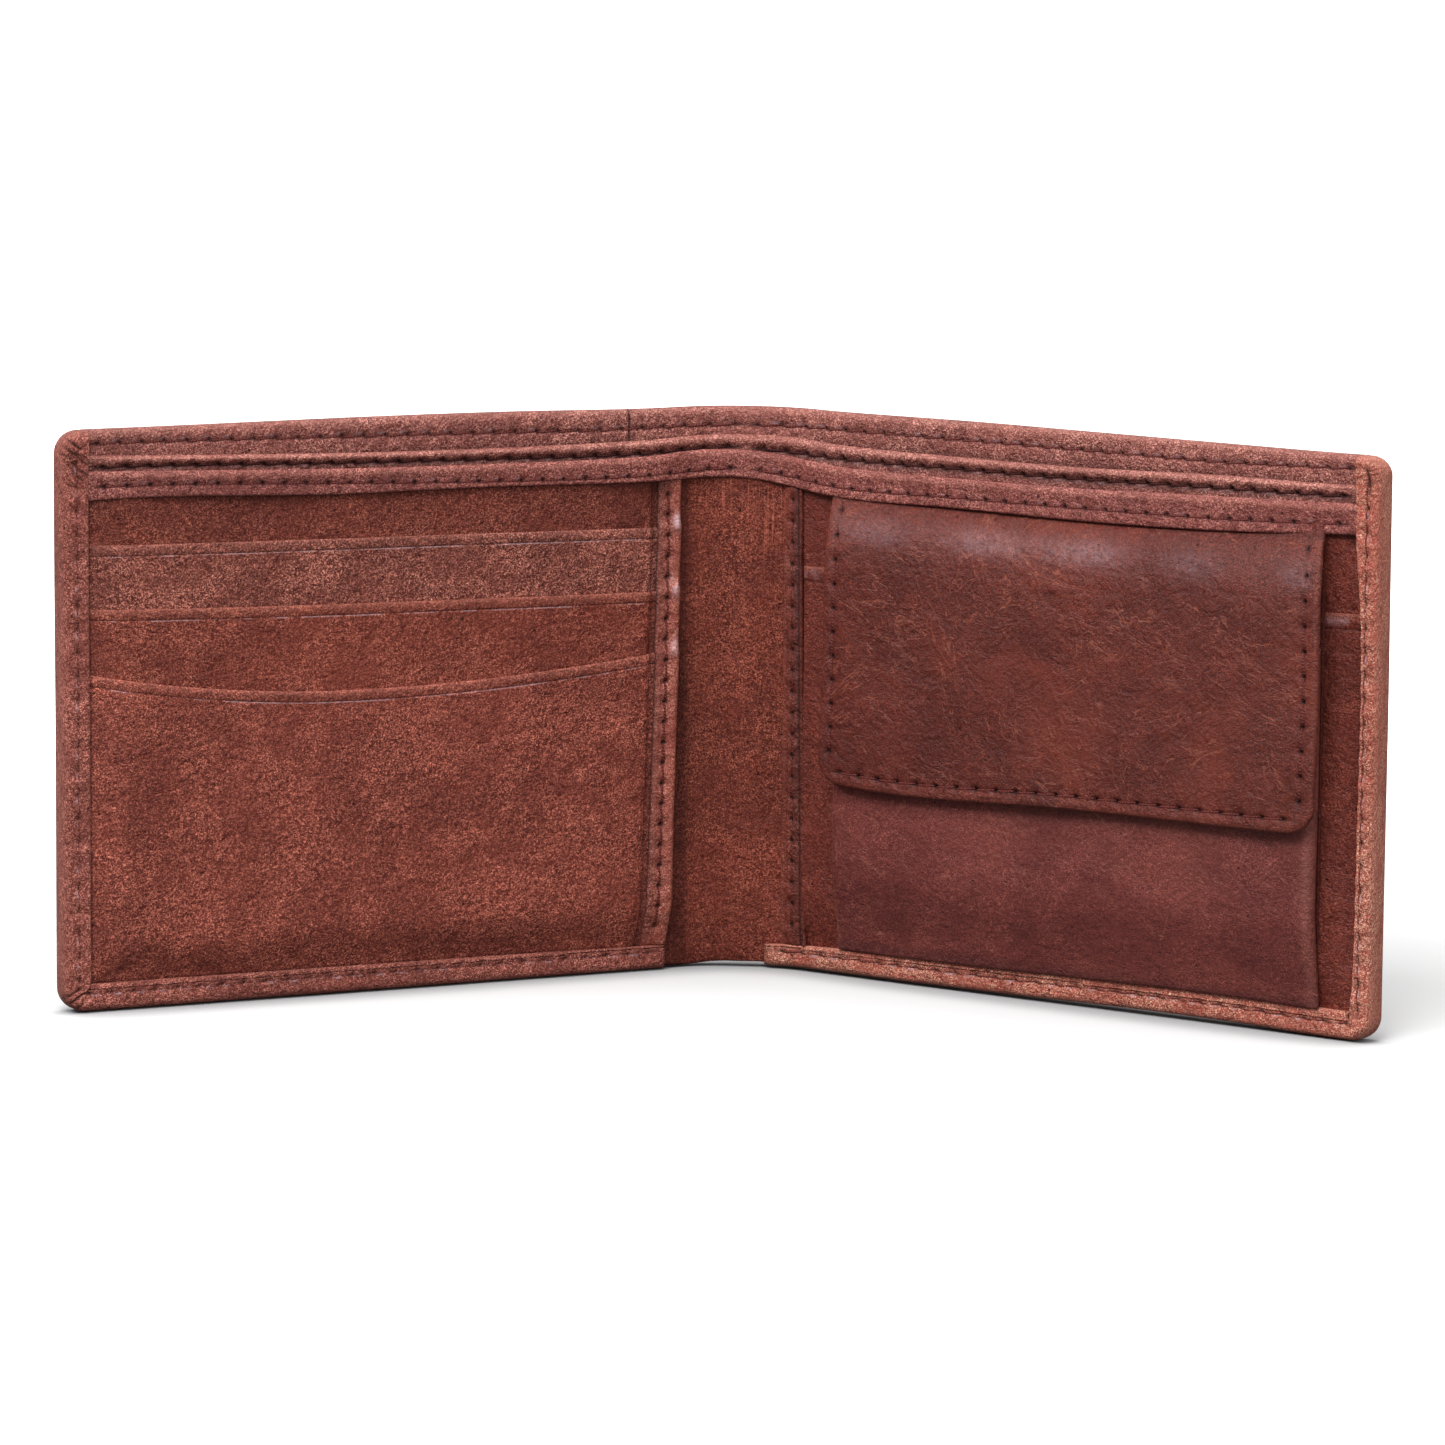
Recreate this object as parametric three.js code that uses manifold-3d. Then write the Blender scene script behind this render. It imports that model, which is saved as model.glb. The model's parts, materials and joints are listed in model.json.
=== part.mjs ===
// Bifold wallet with card slots and a flapped coin pocket, standing open on its bottom edge.
// Millimetres, +Z up. The spine is at +Y, the two halves come forward to -Y, and the inside
// faces -Y. Origin: centre of the bounding box in X and Y, on the standing plane in Z.
//
// Each half is drawn flat in its own frame:
//   run    distance from the fold line towards the outer edge (on the spine: x from its middle)
//   z      height
//   depth  distance from the outer face towards the inside of the wallet
import * as THREE from 'three';
import { mergeVertices } from 'three/addons/utils/BufferGeometryUtils.js';
import Module from 'manifold-3d';

const wasm = await Module();
wasm.setup();

// ---- driving dimensions ----------------------------------------------------------------
const HEIGHT = 90;
const HALF_LENGTH = 109.2;    // fold line to outer edge of a half
const SPINE_WIDTH = 13;       // distance between the two fold lines
const FOLD_DEPTH = 4;         // depth of the fold lines
const REST_BEND = 30;         // degrees each half is turned, so the halves stand 120 apart
const FOLD_Y = 26.59;         // y of the fold lines
const LEATHER = 1.0;          // cover leather
const WALL = 1.0;             // leather turned round the edge
const WALL_OVERLAP = 0.02;    // the wall enters the leather at both ends by this much
const CORNER_R = 3.6;         // outer corners
const BOTTOM_BORDER = 4.7;    // height of the turned border along the bottom
const FOLD_CLEARANCE = 0.15;  // from each layer to the fold line
const BORDER_GAP = 0.2;       // facings and bands to the turned border
const POCKET_GAP = 0.25;      // pocket leaves and strips to the turned border
const STRIP_GAP = 0.3;        // upright strips to the band above them

// Start and end depth of each layer.
const DEPTH = {
  lining: [1.1, 1.5],
  facing: [1.6, 2.2],
  edging: [2.3, 3.5],
  divider: [2.7, 3.1],
  inner: [3.6, 4.0],
  base: [4.1, 4.7],
  bandSpine: [4.1, 4.7],
  lip: [4.8, 5.6],
  // left half
  slotTop: [4.8, 5.2],
  slotTopLining: [5.25, 5.35],
  slotMiddle: [5.45, 5.85],
  slotMiddleLining: [5.9, 6.0],
  slotBottom: [6.1, 6.5],
  cardStrip: [6.6, 7.2],
  bandLeft: [4.8, 5.4],
  // right half
  foldStrip: [4.8, 5.4],
  slip: [4.8, 5.3],
  coinBack: [5.4, 5.9],
  gusset: [6.0, 7.5],
  coinFront: [7.6, 8.4],
  snapBase: [8.5, 9.1],
  snapPost: [9.05, 9.65],
  snapSocket: [9.2, 9.8],
  flapTab: [4.8, 5.6],
  bandRight: [5.7, 6.3],
  flapLining: [9.9, 10.3],
  flap: [10.4, 11.2],
};

// ---- materials -------------------------------------------------------------------------
const standard = (settings) => new THREE.MeshStandardMaterial(settings);
const MATERIAL = {
  cover: standard({ color: 0x8f544a, roughness: 0.62 }),
  border: standard({ color: 0x97605a, roughness: 0.6 }),
  panel: standard({ color: 0x7a3f38, roughness: 0.55 }),
  dark: standard({ color: 0x643029, roughness: 0.55 }),
  lining: standard({ color: 0x71392f, roughness: 0.7 }),
  fabric: standard({ color: 0x4e2a26, roughness: 0.85 }),
  thread: standard({ color: 0x5b2621, roughness: 0.7 }),
  flap: standard({ color: 0x6c3932, roughness: 0.45 }),
  steel: standard({ color: 0xb9b4ac, roughness: 0.3, metalness: 1.0 }),
};

// ---- outlines in (run, z) --------------------------------------------------------------
const rect = ([run0, run1], [z0, z1]) => [[run0, z0], [run1, z0], [run1, z1], [run0, z1]];

// Angles in degrees: 0 points away from the fold, 90 points up.
function arc(centreRun, centreZ, radius, from, to, segments = 4) {
  const points = [];
  for (let i = 0; i <= segments; i++) {
    const angle = THREE.MathUtils.degToRad(from + (to - from) * i / segments);
    points.push([centreRun + radius * Math.cos(angle), centreZ + radius * Math.sin(angle)]);
  }
  return points;
}

function segmentNormal([run0, z0], [run1, z1]) {
  const length = Math.hypot(run1 - run0, z1 - z0);
  return [-(z1 - z0) / length, (run1 - run0) / length];
}

// A strip of constant width along a line of points, mitred at each point.
function ribbon(points, width) {
  const normals = points.slice(1).map((point, i) => segmentNormal(points[i], point));
  const leftSide = [];
  const rightSide = [];
  points.forEach(([run, z], i) => {
    const before = normals[Math.max(i - 1, 0)];
    const after = normals[Math.min(i, normals.length - 1)];
    const sum = [before[0] + after[0], before[1] + after[1]];
    const scale = width / (sum[0] ** 2 + sum[1] ** 2);
    leftSide.push([run + sum[0] * scale, z + sum[1] * scale]);
    rightSide.push([run - sum[0] * scale, z - sum[1] * scale]);
  });
  return [...leftSide, ...rightSide.reverse()];
}

// ---- solids ----------------------------------------------------------------------------
function toSolid(geometry) {
  geometry.deleteAttribute('normal');
  geometry.deleteAttribute('uv');
  const merged = mergeVertices(geometry, 1e-4);
  return new wasm.Manifold(new wasm.Mesh({
    numProp: 3,
    vertProperties: new Float32Array(merged.attributes.position.array),
    triVerts: new Uint32Array(merged.index.array),
  }));
}

function toGeometry(solid) {
  const mesh = solid.getMesh();
  const geometry = new THREE.BufferGeometry();
  const positions = new Float32Array(mesh.vertProperties);
  geometry.setAttribute('position', new THREE.BufferAttribute(positions, 3));
  geometry.setIndex(new THREE.BufferAttribute(new Uint32Array(mesh.triVerts), 1));
  geometry.computeVertexNormals();
  return geometry;
}

const extrude = (shape, depth) => new THREE.ExtrudeGeometry(
  shape, { depth, bevelEnabled: false, curveSegments: 6, steps: 1 });

// A flat layer: outline in (run, z), between two depths.
// side is -1 for the left half, 1 for the right half and the spine.
function sheet(side, outline, [start, end], holes = []) {
  const place = (points) => points.map(([run, z]) => new THREE.Vector2(side * run, z));
  const shape = new THREE.Shape(place(outline));
  shape.holes = holes.map((hole) => new THREE.Path(place(hole)));
  const geometry = extrude(shape, end - start);
  geometry.rotateX(Math.PI / 2);
  geometry.translate(0, FOLD_DEPTH - start, 0);
  return geometry;
}

// A bar of constant section: section in (depth, z), extruded between two runs.
function bar(side, section, [run0, run1]) {
  const points = section.map(([depth, z]) => new THREE.Vector2(FOLD_DEPTH - depth, z));
  const geometry = extrude(new THREE.Shape(points), run1 - run0);
  geometry.applyMatrix4(new THREE.Matrix4().makeBasis(
    new THREE.Vector3(0, 1, 0), new THREE.Vector3(0, 0, 1), new THREE.Vector3(1, 0, 0)));
  geometry.translate(Math.min(side * run0, side * run1), 0, 0);
  return geometry;
}

// ---- the three panels ------------------------------------------------------------------
const HALF_SPINE = SPINE_WIDTH / 2;

function makePart(side, x, bend) {
  const frame = new THREE.Group();
  frame.position.set(x, FOLD_Y, 0);
  frame.rotation.z = THREE.MathUtils.degToRad(bend);
  return { side, frame };
}
// border: width of the turned border; lipStart: run where it begins along the bottom
const spine = makePart(1, 0, 0);
const left = { ...makePart(-1, -HALF_SPINE, REST_BEND), tag: 'left', border: 4.4, lipStart: 6.9 };
const right = { ...makePart(1, HALF_SPINE, -REST_BEND), tag: 'right', border: 3.6, lipStart: 1.9 };
const group = new THREE.Group();
group.add(spine.frame, left.frame, right.frame);

function add(part, name, geometry, material) {
  const mesh = new THREE.Mesh(geometry, material);
  mesh.name = name;
  part.frame.add(mesh);
}
function addSheet(part, name, outline, depths, material) {
  add(part, name, sheet(part.side, outline, depths), material);
}
const borderRun = (half, gap) => HALF_LENGTH - half.border - gap;
const spineRuns = (inset = 0) => [
  -HALF_SPINE + FOLD_CLEARANCE + inset, HALF_SPINE - FOLD_CLEARANCE - inset,
];

// ---- cover: three leather panels, the halves with edges turned to the inside -----------
const CORNER_RUN = HALF_LENGTH - CORNER_R;

// L-shaped strip along the bottom and outer edge; innerRun and innerZ bound its inside.
function edgeStrip(runStart, innerRun, innerZ, innerRadius) {
  const topAngle = THREE.MathUtils.radToDeg(
    Math.acos(Math.max(0, (innerRun - CORNER_RUN) / CORNER_R)));
  return [
    [runStart, 0],
    ...arc(CORNER_RUN, CORNER_R, CORNER_R, -90, 0),
    ...arc(CORNER_RUN, HEIGHT - CORNER_R, CORNER_R, 0, topAngle),
    ...(innerRun < CORNER_RUN ? [[innerRun, HEIGHT]] : []),
    ...(innerRadius > 0
      ? arc(innerRun - innerRadius, innerZ + innerRadius, innerRadius, 0, -90)
      : [[innerRun, innerZ]]),
    [runStart, innerZ],
  ];
}

function halfCover({ side, border, lipStart }) {
  const plateOutline = [
    [FOLD_CLEARANCE, 0],
    ...arc(CORNER_RUN, CORNER_R, CORNER_R, -90, 0),
    ...arc(CORNER_RUN, HEIGHT - CORNER_R, CORNER_R, 0, 90),
    [FOLD_CLEARANCE, HEIGHT],
  ];
  const wallOutline = edgeStrip(lipStart, HALF_LENGTH - WALL, WALL, CORNER_R - WALL);
  const wallDepths = [LEATHER - WALL_OVERLAP, DEPTH.lip[0] + WALL_OVERLAP];
  const lipOutline = edgeStrip(lipStart, HALF_LENGTH - border, BOTTOM_BORDER, 0);
  const plate = toSolid(sheet(side, plateOutline, [0, LEATHER]));
  const wall = toSolid(sheet(side, wallOutline, wallDepths));
  const lip = toSolid(sheet(side, lipOutline, DEPTH.lip));
  return toGeometry(plate.add(wall).add(lip));
}

for (const half of [left, right]) add(half, `cover_${half.tag}`, halfCover(half), MATERIAL.cover);
addSheet(spine, 'cover_spine', rect(spineRuns(), [0, HEIGHT]), [0, LEATHER], MATERIAL.cover);

// ---- note compartment: cover lining, divider with its edging, inner lining -------------
const LAYER_RUN = HALF_LENGTH - WALL - 0.3;   // layers stop this far out, inside the wall
const LAYER_Z = WALL + 0.2;                   // and start this far up
const LAYER_CORNER = CORNER_R - WALL;
const SPINE_LAYER_Z = 0.2;
const FACING_Z = [82.4, HEIGHT - 0.1];
const EDGING_Z = [80.6, 85.4];
const LINING_TOP = FACING_Z[0] + 4;
const DIVIDER_TOP = EDGING_Z[1] - 0.9;
const INNER_TOP = 80.4;

// Layer of a half, with its lower outer corner rounded.
const halfLayer = (runStart, top) => [
  [runStart, LAYER_Z],
  ...arc(LAYER_RUN - LAYER_CORNER, LAYER_Z + LAYER_CORNER, LAYER_CORNER, -90, 0, 3),
  [LAYER_RUN, top],
  [runStart, top],
];

// Section of the edging: a channel over the divider's top edge, upper corners chamfered.
function edgingSection() {
  const [start, end] = DEPTH.edging;
  const [low, top] = EDGING_Z;
  const chamfer = 0.3;
  const channelTop = top - 0.75;
  const channelStart = DEPTH.divider[0] - 0.1;
  const channelEnd = DEPTH.divider[1] + 0.1;
  return [
    [start, low], [start, top - chamfer], [start + chamfer, top],
    [end - chamfer, top], [end, top - chamfer], [end, low],
    [channelEnd, low], [channelEnd, channelTop], [channelStart, channelTop], [channelStart, low],
  ];
}

function addNoteLayers(part, tag, outlineTo, edgingRuns) {
  const edging = bar(part.side, edgingSection(), edgingRuns);
  addSheet(part, `cover_lining_${tag}`, outlineTo(LINING_TOP), DEPTH.lining, MATERIAL.fabric);
  addSheet(part, `divider_${tag}`, outlineTo(DIVIDER_TOP), DEPTH.divider, MATERIAL.fabric);
  add(part, `divider_edging_${tag}`, edging, MATERIAL.panel);
}

for (const half of [left, right]) {
  const outlineTo = (top) => halfLayer(FOLD_CLEARANCE, top);
  const innerName = `inner_lining_${half.tag}`;
  addNoteLayers(half, half.tag, outlineTo, [FOLD_CLEARANCE, LAYER_RUN]);
  addSheet(half, innerName, outlineTo(INNER_TOP), DEPTH.inner, MATERIAL.fabric);
}
const spineLayer = (top) => rect(spineRuns(), [SPINE_LAYER_Z, top]);
addNoteLayers(spine, 'spine', spineLayer, spineRuns());
addSheet(spine, 'spine_lining', spineLayer(INNER_TOP), DEPTH.inner, MATERIAL.lining);

// ---- facing along the top of the cover -------------------------------------------------
const FACING_SEAM_RUN = 12.4;   // butt seam in the left facing
const FACING_SEAM_GAP = 0.1;    // to each side of the seam

// [part, name, runs]
const facings = [
  [left, 'left', [FACING_SEAM_RUN + FACING_SEAM_GAP, borderRun(left, BORDER_GAP)]],
  [left, 'left_end', [FOLD_CLEARANCE, FACING_SEAM_RUN - FACING_SEAM_GAP]],
  [spine, 'spine', spineRuns()],
  [right, 'right', [FOLD_CLEARANCE, borderRun(right, BORDER_GAP)]],
];
for (const [part, tag, runs] of facings) {
  addSheet(part, `top_facing_${tag}`, rect(runs, FACING_Z), DEPTH.facing, MATERIAL.border);
}

// ---- front band across the top of the pockets ------------------------------------------
const BAND_LEFT_Z = [79.1, 83.0];
const BAND_SPINE_Z = [78.0, 82.0];
const BAND_RIGHT_Z = [77.0, 81.4];

// [part, name, runs, heights, depths]
const bands = [
  [left, 'left', [1.7, borderRun(left, BORDER_GAP)], BAND_LEFT_Z, DEPTH.bandLeft],
  [spine, 'spine', [-5.5, 5.5], BAND_SPINE_Z, DEPTH.bandSpine],
  [right, 'right', [2.6, borderRun(right, BORDER_GAP)], BAND_RIGHT_Z, DEPTH.bandRight],
];
for (const [part, tag, runs, heights, depths] of bands) {
  addSheet(part, `front_band_${tag}`, rect(runs, heights), depths, MATERIAL.panel);
}

// ---- left half: card slots -------------------------------------------------------------
const BASE_START = 0.9;                       // run where the base panels begin
const POCKET_Z = BOTTOM_BORDER + POCKET_GAP;  // lower edge of pocket leaves and strips
const SLOT_RUNS = [7.0, borderRun(left, POCKET_GAP)];
const SLOT_LINING_RUNS = [SLOT_RUNS[0] + 3.4, SLOT_RUNS[1] - 0.6];
const SLOT_LINING_Z = POCKET_Z + 4;
const BOTTOM_SLOT_TOP = 51.4;
const BOTTOM_SLOT_DIP = 2.6;                  // dip of the lowest slot's mouth
const CARD_STRIP_RUNS = [6.3, 10.2];

addSheet(left, 'card_base_panel', halfLayer(BASE_START, BAND_LEFT_Z[1] - 0.4),
  DEPTH.base, MATERIAL.dark);

// [name, mouth height, drop from mouth to lining, leaf depths, lining depths]
const slots = [
  ['card_slot_top', 72.2, 10.6, DEPTH.slotTop, DEPTH.slotTopLining],
  ['card_slot_middle', 62.2, 13.8, DEPTH.slotMiddle, DEPTH.slotMiddleLining],
];
for (const [name, mouth, drop, depths, liningDepths] of slots) {
  const lining = rect(SLOT_LINING_RUNS, [SLOT_LINING_Z, mouth - drop]);
  addSheet(left, name, rect(SLOT_RUNS, [POCKET_Z, mouth]), depths, MATERIAL.panel);
  addSheet(left, `${name}_lining`, lining, liningDepths, MATERIAL.fabric);
}

function bottomSlotOutline() {
  const [start, end] = SLOT_RUNS;
  const segments = 10;
  const points = [[start, POCKET_Z], [end, POCKET_Z]];
  for (let i = 0; i <= segments; i++) {
    const part = i / segments;
    const z = BOTTOM_SLOT_TOP - BOTTOM_SLOT_DIP * Math.sin(Math.PI * part);
    points.push([end + (start - end) * part, z]);
  }
  return points;
}
addSheet(left, 'card_slot_bottom', bottomSlotOutline(), DEPTH.slotBottom, MATERIAL.panel);
addSheet(left, 'card_edge_strip', rect(CARD_STRIP_RUNS, [POCKET_Z, BAND_LEFT_Z[0] - STRIP_GAP]),
  DEPTH.cardStrip, MATERIAL.panel);

// ---- right half: slip pocket and coin pocket -------------------------------------------
const TAB_TOP = BAND_RIGHT_Z[1] - 0.8;
const RIGHT_BASE_TOP = 80.6;
const FOLD_STRIP_RUNS = [1.7, 5.4];
const SLIP_RUNS = [5.7, borderRun(right, POCKET_GAP)];
const SLIP_TOP = 65.8;
const COIN_RUNS = [12.8, 101.2];
const COIN_Z = [6.3, 60.0];
const COIN_BACK_Z = [5.2, 73.0];
const COIN_CORNER = 2.5;
const GUSSET_WIDTH = 0.7;
const FLAP_RUNS = [11.4, 101.9];
const FLAP_Z = [31.6, 76.4];
const FLAP_BREAK_Z = 67.0;      // where the flap turns from hanging to sloping back
const FLAP_CORNER = 6.0;

const inset = ([start, end], amount) => [start + amount, end - amount];

// U-shaped strip, open at the top.
function gussetOutline() {
  const [start, end] = COIN_RUNS;
  const [low, top] = COIN_Z;
  const [innerStart, innerEnd] = inset(COIN_RUNS, GUSSET_WIDTH);
  const innerLow = low + GUSSET_WIDTH;
  return [
    [start, low], [end, low], [end, top], [innerEnd, top],
    [innerEnd, innerLow], [innerStart, innerLow], [innerStart, top], [start, top],
  ];
}

// Rectangle with both lower corners rounded.
function pouchOutline([start, end], [low, top], radius, segments, lastAngle) {
  return [
    ...arc(end - radius, low + radius, radius, -90, 0, segments),
    [end, top],
    [start, top],
    ...arc(start + radius, low + radius, radius, 180, lastAngle, segments),
  ];
}

// [name, outline, depths, material]
const rightSheets = [
  ['right_base_panel', halfLayer(BASE_START, RIGHT_BASE_TOP), DEPTH.base, MATERIAL.dark],
  ['fold_strip', rect(FOLD_STRIP_RUNS, [POCKET_Z, BAND_RIGHT_Z[0] - STRIP_GAP]),
    DEPTH.foldStrip, MATERIAL.panel],
  ['slip_pocket', rect(SLIP_RUNS, [POCKET_Z, SLIP_TOP]), DEPTH.slip, MATERIAL.dark],
  ['coin_pocket_back', rect(COIN_RUNS, COIN_BACK_Z), DEPTH.coinBack, MATERIAL.dark],
  ['coin_pocket_gusset', gussetOutline(), DEPTH.gusset, MATERIAL.dark],
  ['coin_pocket_front', pouchOutline(COIN_RUNS, COIN_Z, COIN_CORNER, 3, 270),
    DEPTH.coinFront, MATERIAL.panel],
  ['coin_flap_tab', rect(inset(FLAP_RUNS, 0.6), [BAND_RIGHT_Z[0] + 0.1, TAB_TOP]),
    DEPTH.flapTab, MATERIAL.flap],
];
for (const sheetSpec of rightSheets) addSheet(right, ...sheetSpec);

// ---- coin flap: steps forward over the pocket and hangs down in front of it ------------
const FLAP_SECTION_LOW = FLAP_Z[0] - 1;   // below the trimmed lower edge
const FLAP_LINING_INSET = 1.2;

// The section is run across the half, then trimmed to an outline with rounded lower corners.
function flapLayer(section, runs, low, corner) {
  const trimTop = 78;
  const trimDepths = [3.0, 13.0];
  // the second arc stops at 269 degrees, short of the point that closes the outline
  const outline = pouchOutline(runs, [low, trimTop], corner, 5, 269);
  outline.unshift([runs[0] + corner, low]);
  const trim = toSolid(sheet(1, outline, trimDepths));
  return toGeometry(toSolid(bar(1, section, runs)).intersect(trim));
}

function flapLeather() {
  const [back, face] = DEPTH.flap;
  const [tabBack, tabFace] = DEPTH.flapTab;
  const section = [   // (depth, z)
    [back, FLAP_SECTION_LOW], [face, FLAP_SECTION_LOW],
    [face, FLAP_BREAK_Z], [face - 0.5, FLAP_BREAK_Z + 1.6],
    [tabFace, FLAP_Z[1]], [tabBack, FLAP_Z[1]], [tabBack, FLAP_Z[1] - 0.6],
    [back - 0.45, FLAP_BREAK_Z + 1.1], [back, FLAP_BREAK_Z - 0.2],
  ];
  return flapLayer(section, FLAP_RUNS, FLAP_Z[0], FLAP_CORNER);
}

function flapLining() {
  const [back, face] = DEPTH.flapLining;
  const upperEnd = FLAP_BREAK_Z + 3.9;
  const section = [   // (depth, z)
    [back, FLAP_SECTION_LOW], [face, FLAP_SECTION_LOW],
    [face, FLAP_BREAK_Z - 0.3], [face - 0.45, FLAP_BREAK_Z + 0.85],
    [7.6, upperEnd], [7.1, upperEnd],
    [back - 0.45, FLAP_BREAK_Z + 0.5], [back, FLAP_BREAK_Z - 0.6],
  ];
  const runs = inset(FLAP_RUNS, FLAP_LINING_INSET);
  return flapLayer(section, runs, FLAP_Z[0] + FLAP_LINING_INSET, FLAP_CORNER - 1);
}

add(right, 'coin_flap_leather', flapLeather(), MATERIAL.flap);
add(right, 'coin_flap_lining', flapLining(), MATERIAL.fabric);

// ---- press snap: stud on the pocket front, socket ring inside the flap -----------------
const SNAP = { run: 56.5, z: 39.5, radius: 5.5, postRadius: 2.7, holeRadius: 3.1 };

const snapCircle = (radius) => arc(SNAP.run, SNAP.z, radius, 0, 337.5, 15);   // 16 points
const studBase = toSolid(sheet(1, snapCircle(SNAP.radius), DEPTH.snapBase));
const studPost = toSolid(sheet(1, snapCircle(SNAP.postRadius), DEPTH.snapPost));
const socket = sheet(
  1, snapCircle(SNAP.radius), DEPTH.snapSocket, [snapCircle(SNAP.holeRadius)]);
add(right, 'snap_stud', toGeometry(studBase.add(studPost)), MATERIAL.steel);
add(right, 'snap_socket', socket, MATERIAL.steel);

// ---- seams -----------------------------------------------------------------------------
const STITCH_WIDTH = 0.5;
const STITCH_HEIGHT = 0.25;
const STITCH_LIFT = 0.05;       // seam above the surface it lies on
const SEAM_START = 0.6;         // run where the hem and edging seams begin
const UPRIGHT_SEAM_Z = 5.6;     // lower end of the upright seams
const hemSurface = DEPTH.facing[1] - 0.02;   // hem seams lie a little lower

function addSeam(part, name, outline, surface) {
  const start = surface + STITCH_LIFT;
  addSheet(part, `thread_${name}`, outline, [start, start + STITCH_HEIGHT], MATERIAL.thread);
}

// Seam down the outer edge, round the corner and back along the bottom.
function borderSeam(sideRun, top, low, endRun) {
  const radius = 2.0;
  const corner = arc(sideRun - radius, low + radius, radius, 0, -90, 3);
  return ribbon([[sideRun, top], ...corner, [endRun, low]], STITCH_WIDTH);
}
addSeam(left, 'border_left', borderSeam(106.6, 87.6, 2.4, 8.0), DEPTH.lip[1]);
addSeam(right, 'border_right', borderSeam(106.9, 87.2, 2.6, 3.2), DEPTH.lip[1]);

// Level seams: [part, name, runs, lower z, surface depth]
const leftSeamEnd = borderRun(left, 0.8);
const rightSeamEnd = borderRun(right, 0.8);
const levelSeams = [
  [left, 'hem_left', [SEAM_START, leftSeamEnd], 87.4, hemSurface],
  [spine, 'hem_spine', spineRuns(0.3), 87.1, hemSurface],
  [right, 'hem_right', [SEAM_START, rightSeamEnd], 86.7, hemSurface],
  [left, 'edging_left', [SEAM_START, leftSeamEnd], 83.5, DEPTH.edging[1]],
  [spine, 'edging_spine', spineRuns(0.4), 83.2, DEPTH.edging[1]],
  [right, 'edging_right', [SEAM_START, rightSeamEnd], 83.2, DEPTH.edging[1]],
  [left, 'band_left', [2.6, leftSeamEnd], 80.5, DEPTH.bandLeft[1]],
  [spine, 'band_spine', [-4.6, 4.6], 79.5, DEPTH.bandSpine[1]],
  [right, 'band_right', [3.6, rightSeamEnd], 78.6, DEPTH.bandRight[1]],
];
for (const [part, name, runs, z, surface] of levelSeams) {
  addSeam(part, name, rect(runs, [z, z + STITCH_WIDTH]), surface);
}

const uprightSeam = (run, top) => rect([run, run + STITCH_WIDTH], [UPRIGHT_SEAM_Z, top]);
addSeam(left, 'card_strip', uprightSeam(7.9, 78.2), DEPTH.cardStrip[1]);
addSeam(right, 'fold_strip', uprightSeam(2.8, 76.0), DEPTH.foldStrip[1]);

// Seam round the hanging part of the flap.
function flapSeam() {
  const [start, end] = [13.4, 99.1];
  const low = 33.6;
  const top = FLAP_BREAK_Z - 0.4;
  const radius = 4;
  return ribbon([
    [start, top],
    ...arc(start + radius, low + radius, radius, 180, 270),
    ...arc(end - radius, low + radius, radius, 270, 360),
    [end, top],
  ], STITCH_WIDTH);
}
addSeam(right, 'flap', flapSeam(), DEPTH.flap[1]);

export default group;
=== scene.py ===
"""A bifold wallet in sewn leather, standing open on its lower edge.

z is up and the spine stands at x = 0. The inside of the wallet faces -y, and both halves swing
30 degrees forward from the spine. The left half (-x) holds the card slots; the right half (+x)
holds a slip pocket and, over it, a coin pocket with a snap flap.
"""
import json
import math
import bmesh
import bpy
import numpy as np
from mathutils import Matrix, Vector

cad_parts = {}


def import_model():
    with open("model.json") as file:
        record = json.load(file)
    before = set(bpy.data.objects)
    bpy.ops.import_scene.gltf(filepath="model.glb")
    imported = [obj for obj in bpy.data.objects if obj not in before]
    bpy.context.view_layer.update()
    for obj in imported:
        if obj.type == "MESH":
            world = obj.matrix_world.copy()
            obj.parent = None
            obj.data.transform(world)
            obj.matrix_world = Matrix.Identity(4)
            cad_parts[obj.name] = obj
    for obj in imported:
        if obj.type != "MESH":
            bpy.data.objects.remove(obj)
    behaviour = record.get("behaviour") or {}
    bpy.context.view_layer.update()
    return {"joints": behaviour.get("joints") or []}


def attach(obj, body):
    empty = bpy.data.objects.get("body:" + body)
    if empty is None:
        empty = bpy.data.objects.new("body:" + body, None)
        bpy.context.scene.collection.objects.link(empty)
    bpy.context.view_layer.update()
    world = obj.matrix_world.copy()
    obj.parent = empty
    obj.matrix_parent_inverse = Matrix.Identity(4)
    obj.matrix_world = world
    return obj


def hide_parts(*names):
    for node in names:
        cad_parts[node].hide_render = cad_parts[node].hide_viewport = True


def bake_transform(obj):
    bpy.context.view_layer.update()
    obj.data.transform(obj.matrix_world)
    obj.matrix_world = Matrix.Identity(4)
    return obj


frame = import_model()

# ---------------------------------------------------------------- sizes, in millimetres
# Pieces are laid out on the flattened wallet: x runs along it from the middle of the spine
# (negative on the left half), depth goes from the outer face towards the inside, z is the height.
LEFT, RIGHT = -1, 1
SIDES = (LEFT, RIGHT)
TAG = {LEFT: "left", RIGHT: "right"}
HINGE = next(joint for joint in frame["joints"] if joint["name"] == "fold_right")["pos_m"]
HALF_SPINE = HINGE[0] * 1000
FOLD_Y = HINGE[1] * 1000
FOLD_DEPTH = 4.0                 # depth of the layer that keeps its length in the bend
BEND = math.radians(30)
BEND_END = 11.5                  # the wallet is straight beyond this x
HEIGHT = 90.0
OUTER = {LEFT: HALF_SPINE + 108.75, RIGHT: HALF_SPINE + 108.5}   # x of the outer edges
BORDER = {LEFT: 4.45, RIGHT: 4.2}                                # width of the turned edge
BORDER_LOW = 4.6                                                 # its height at the foot
CORNER = 3.6
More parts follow.
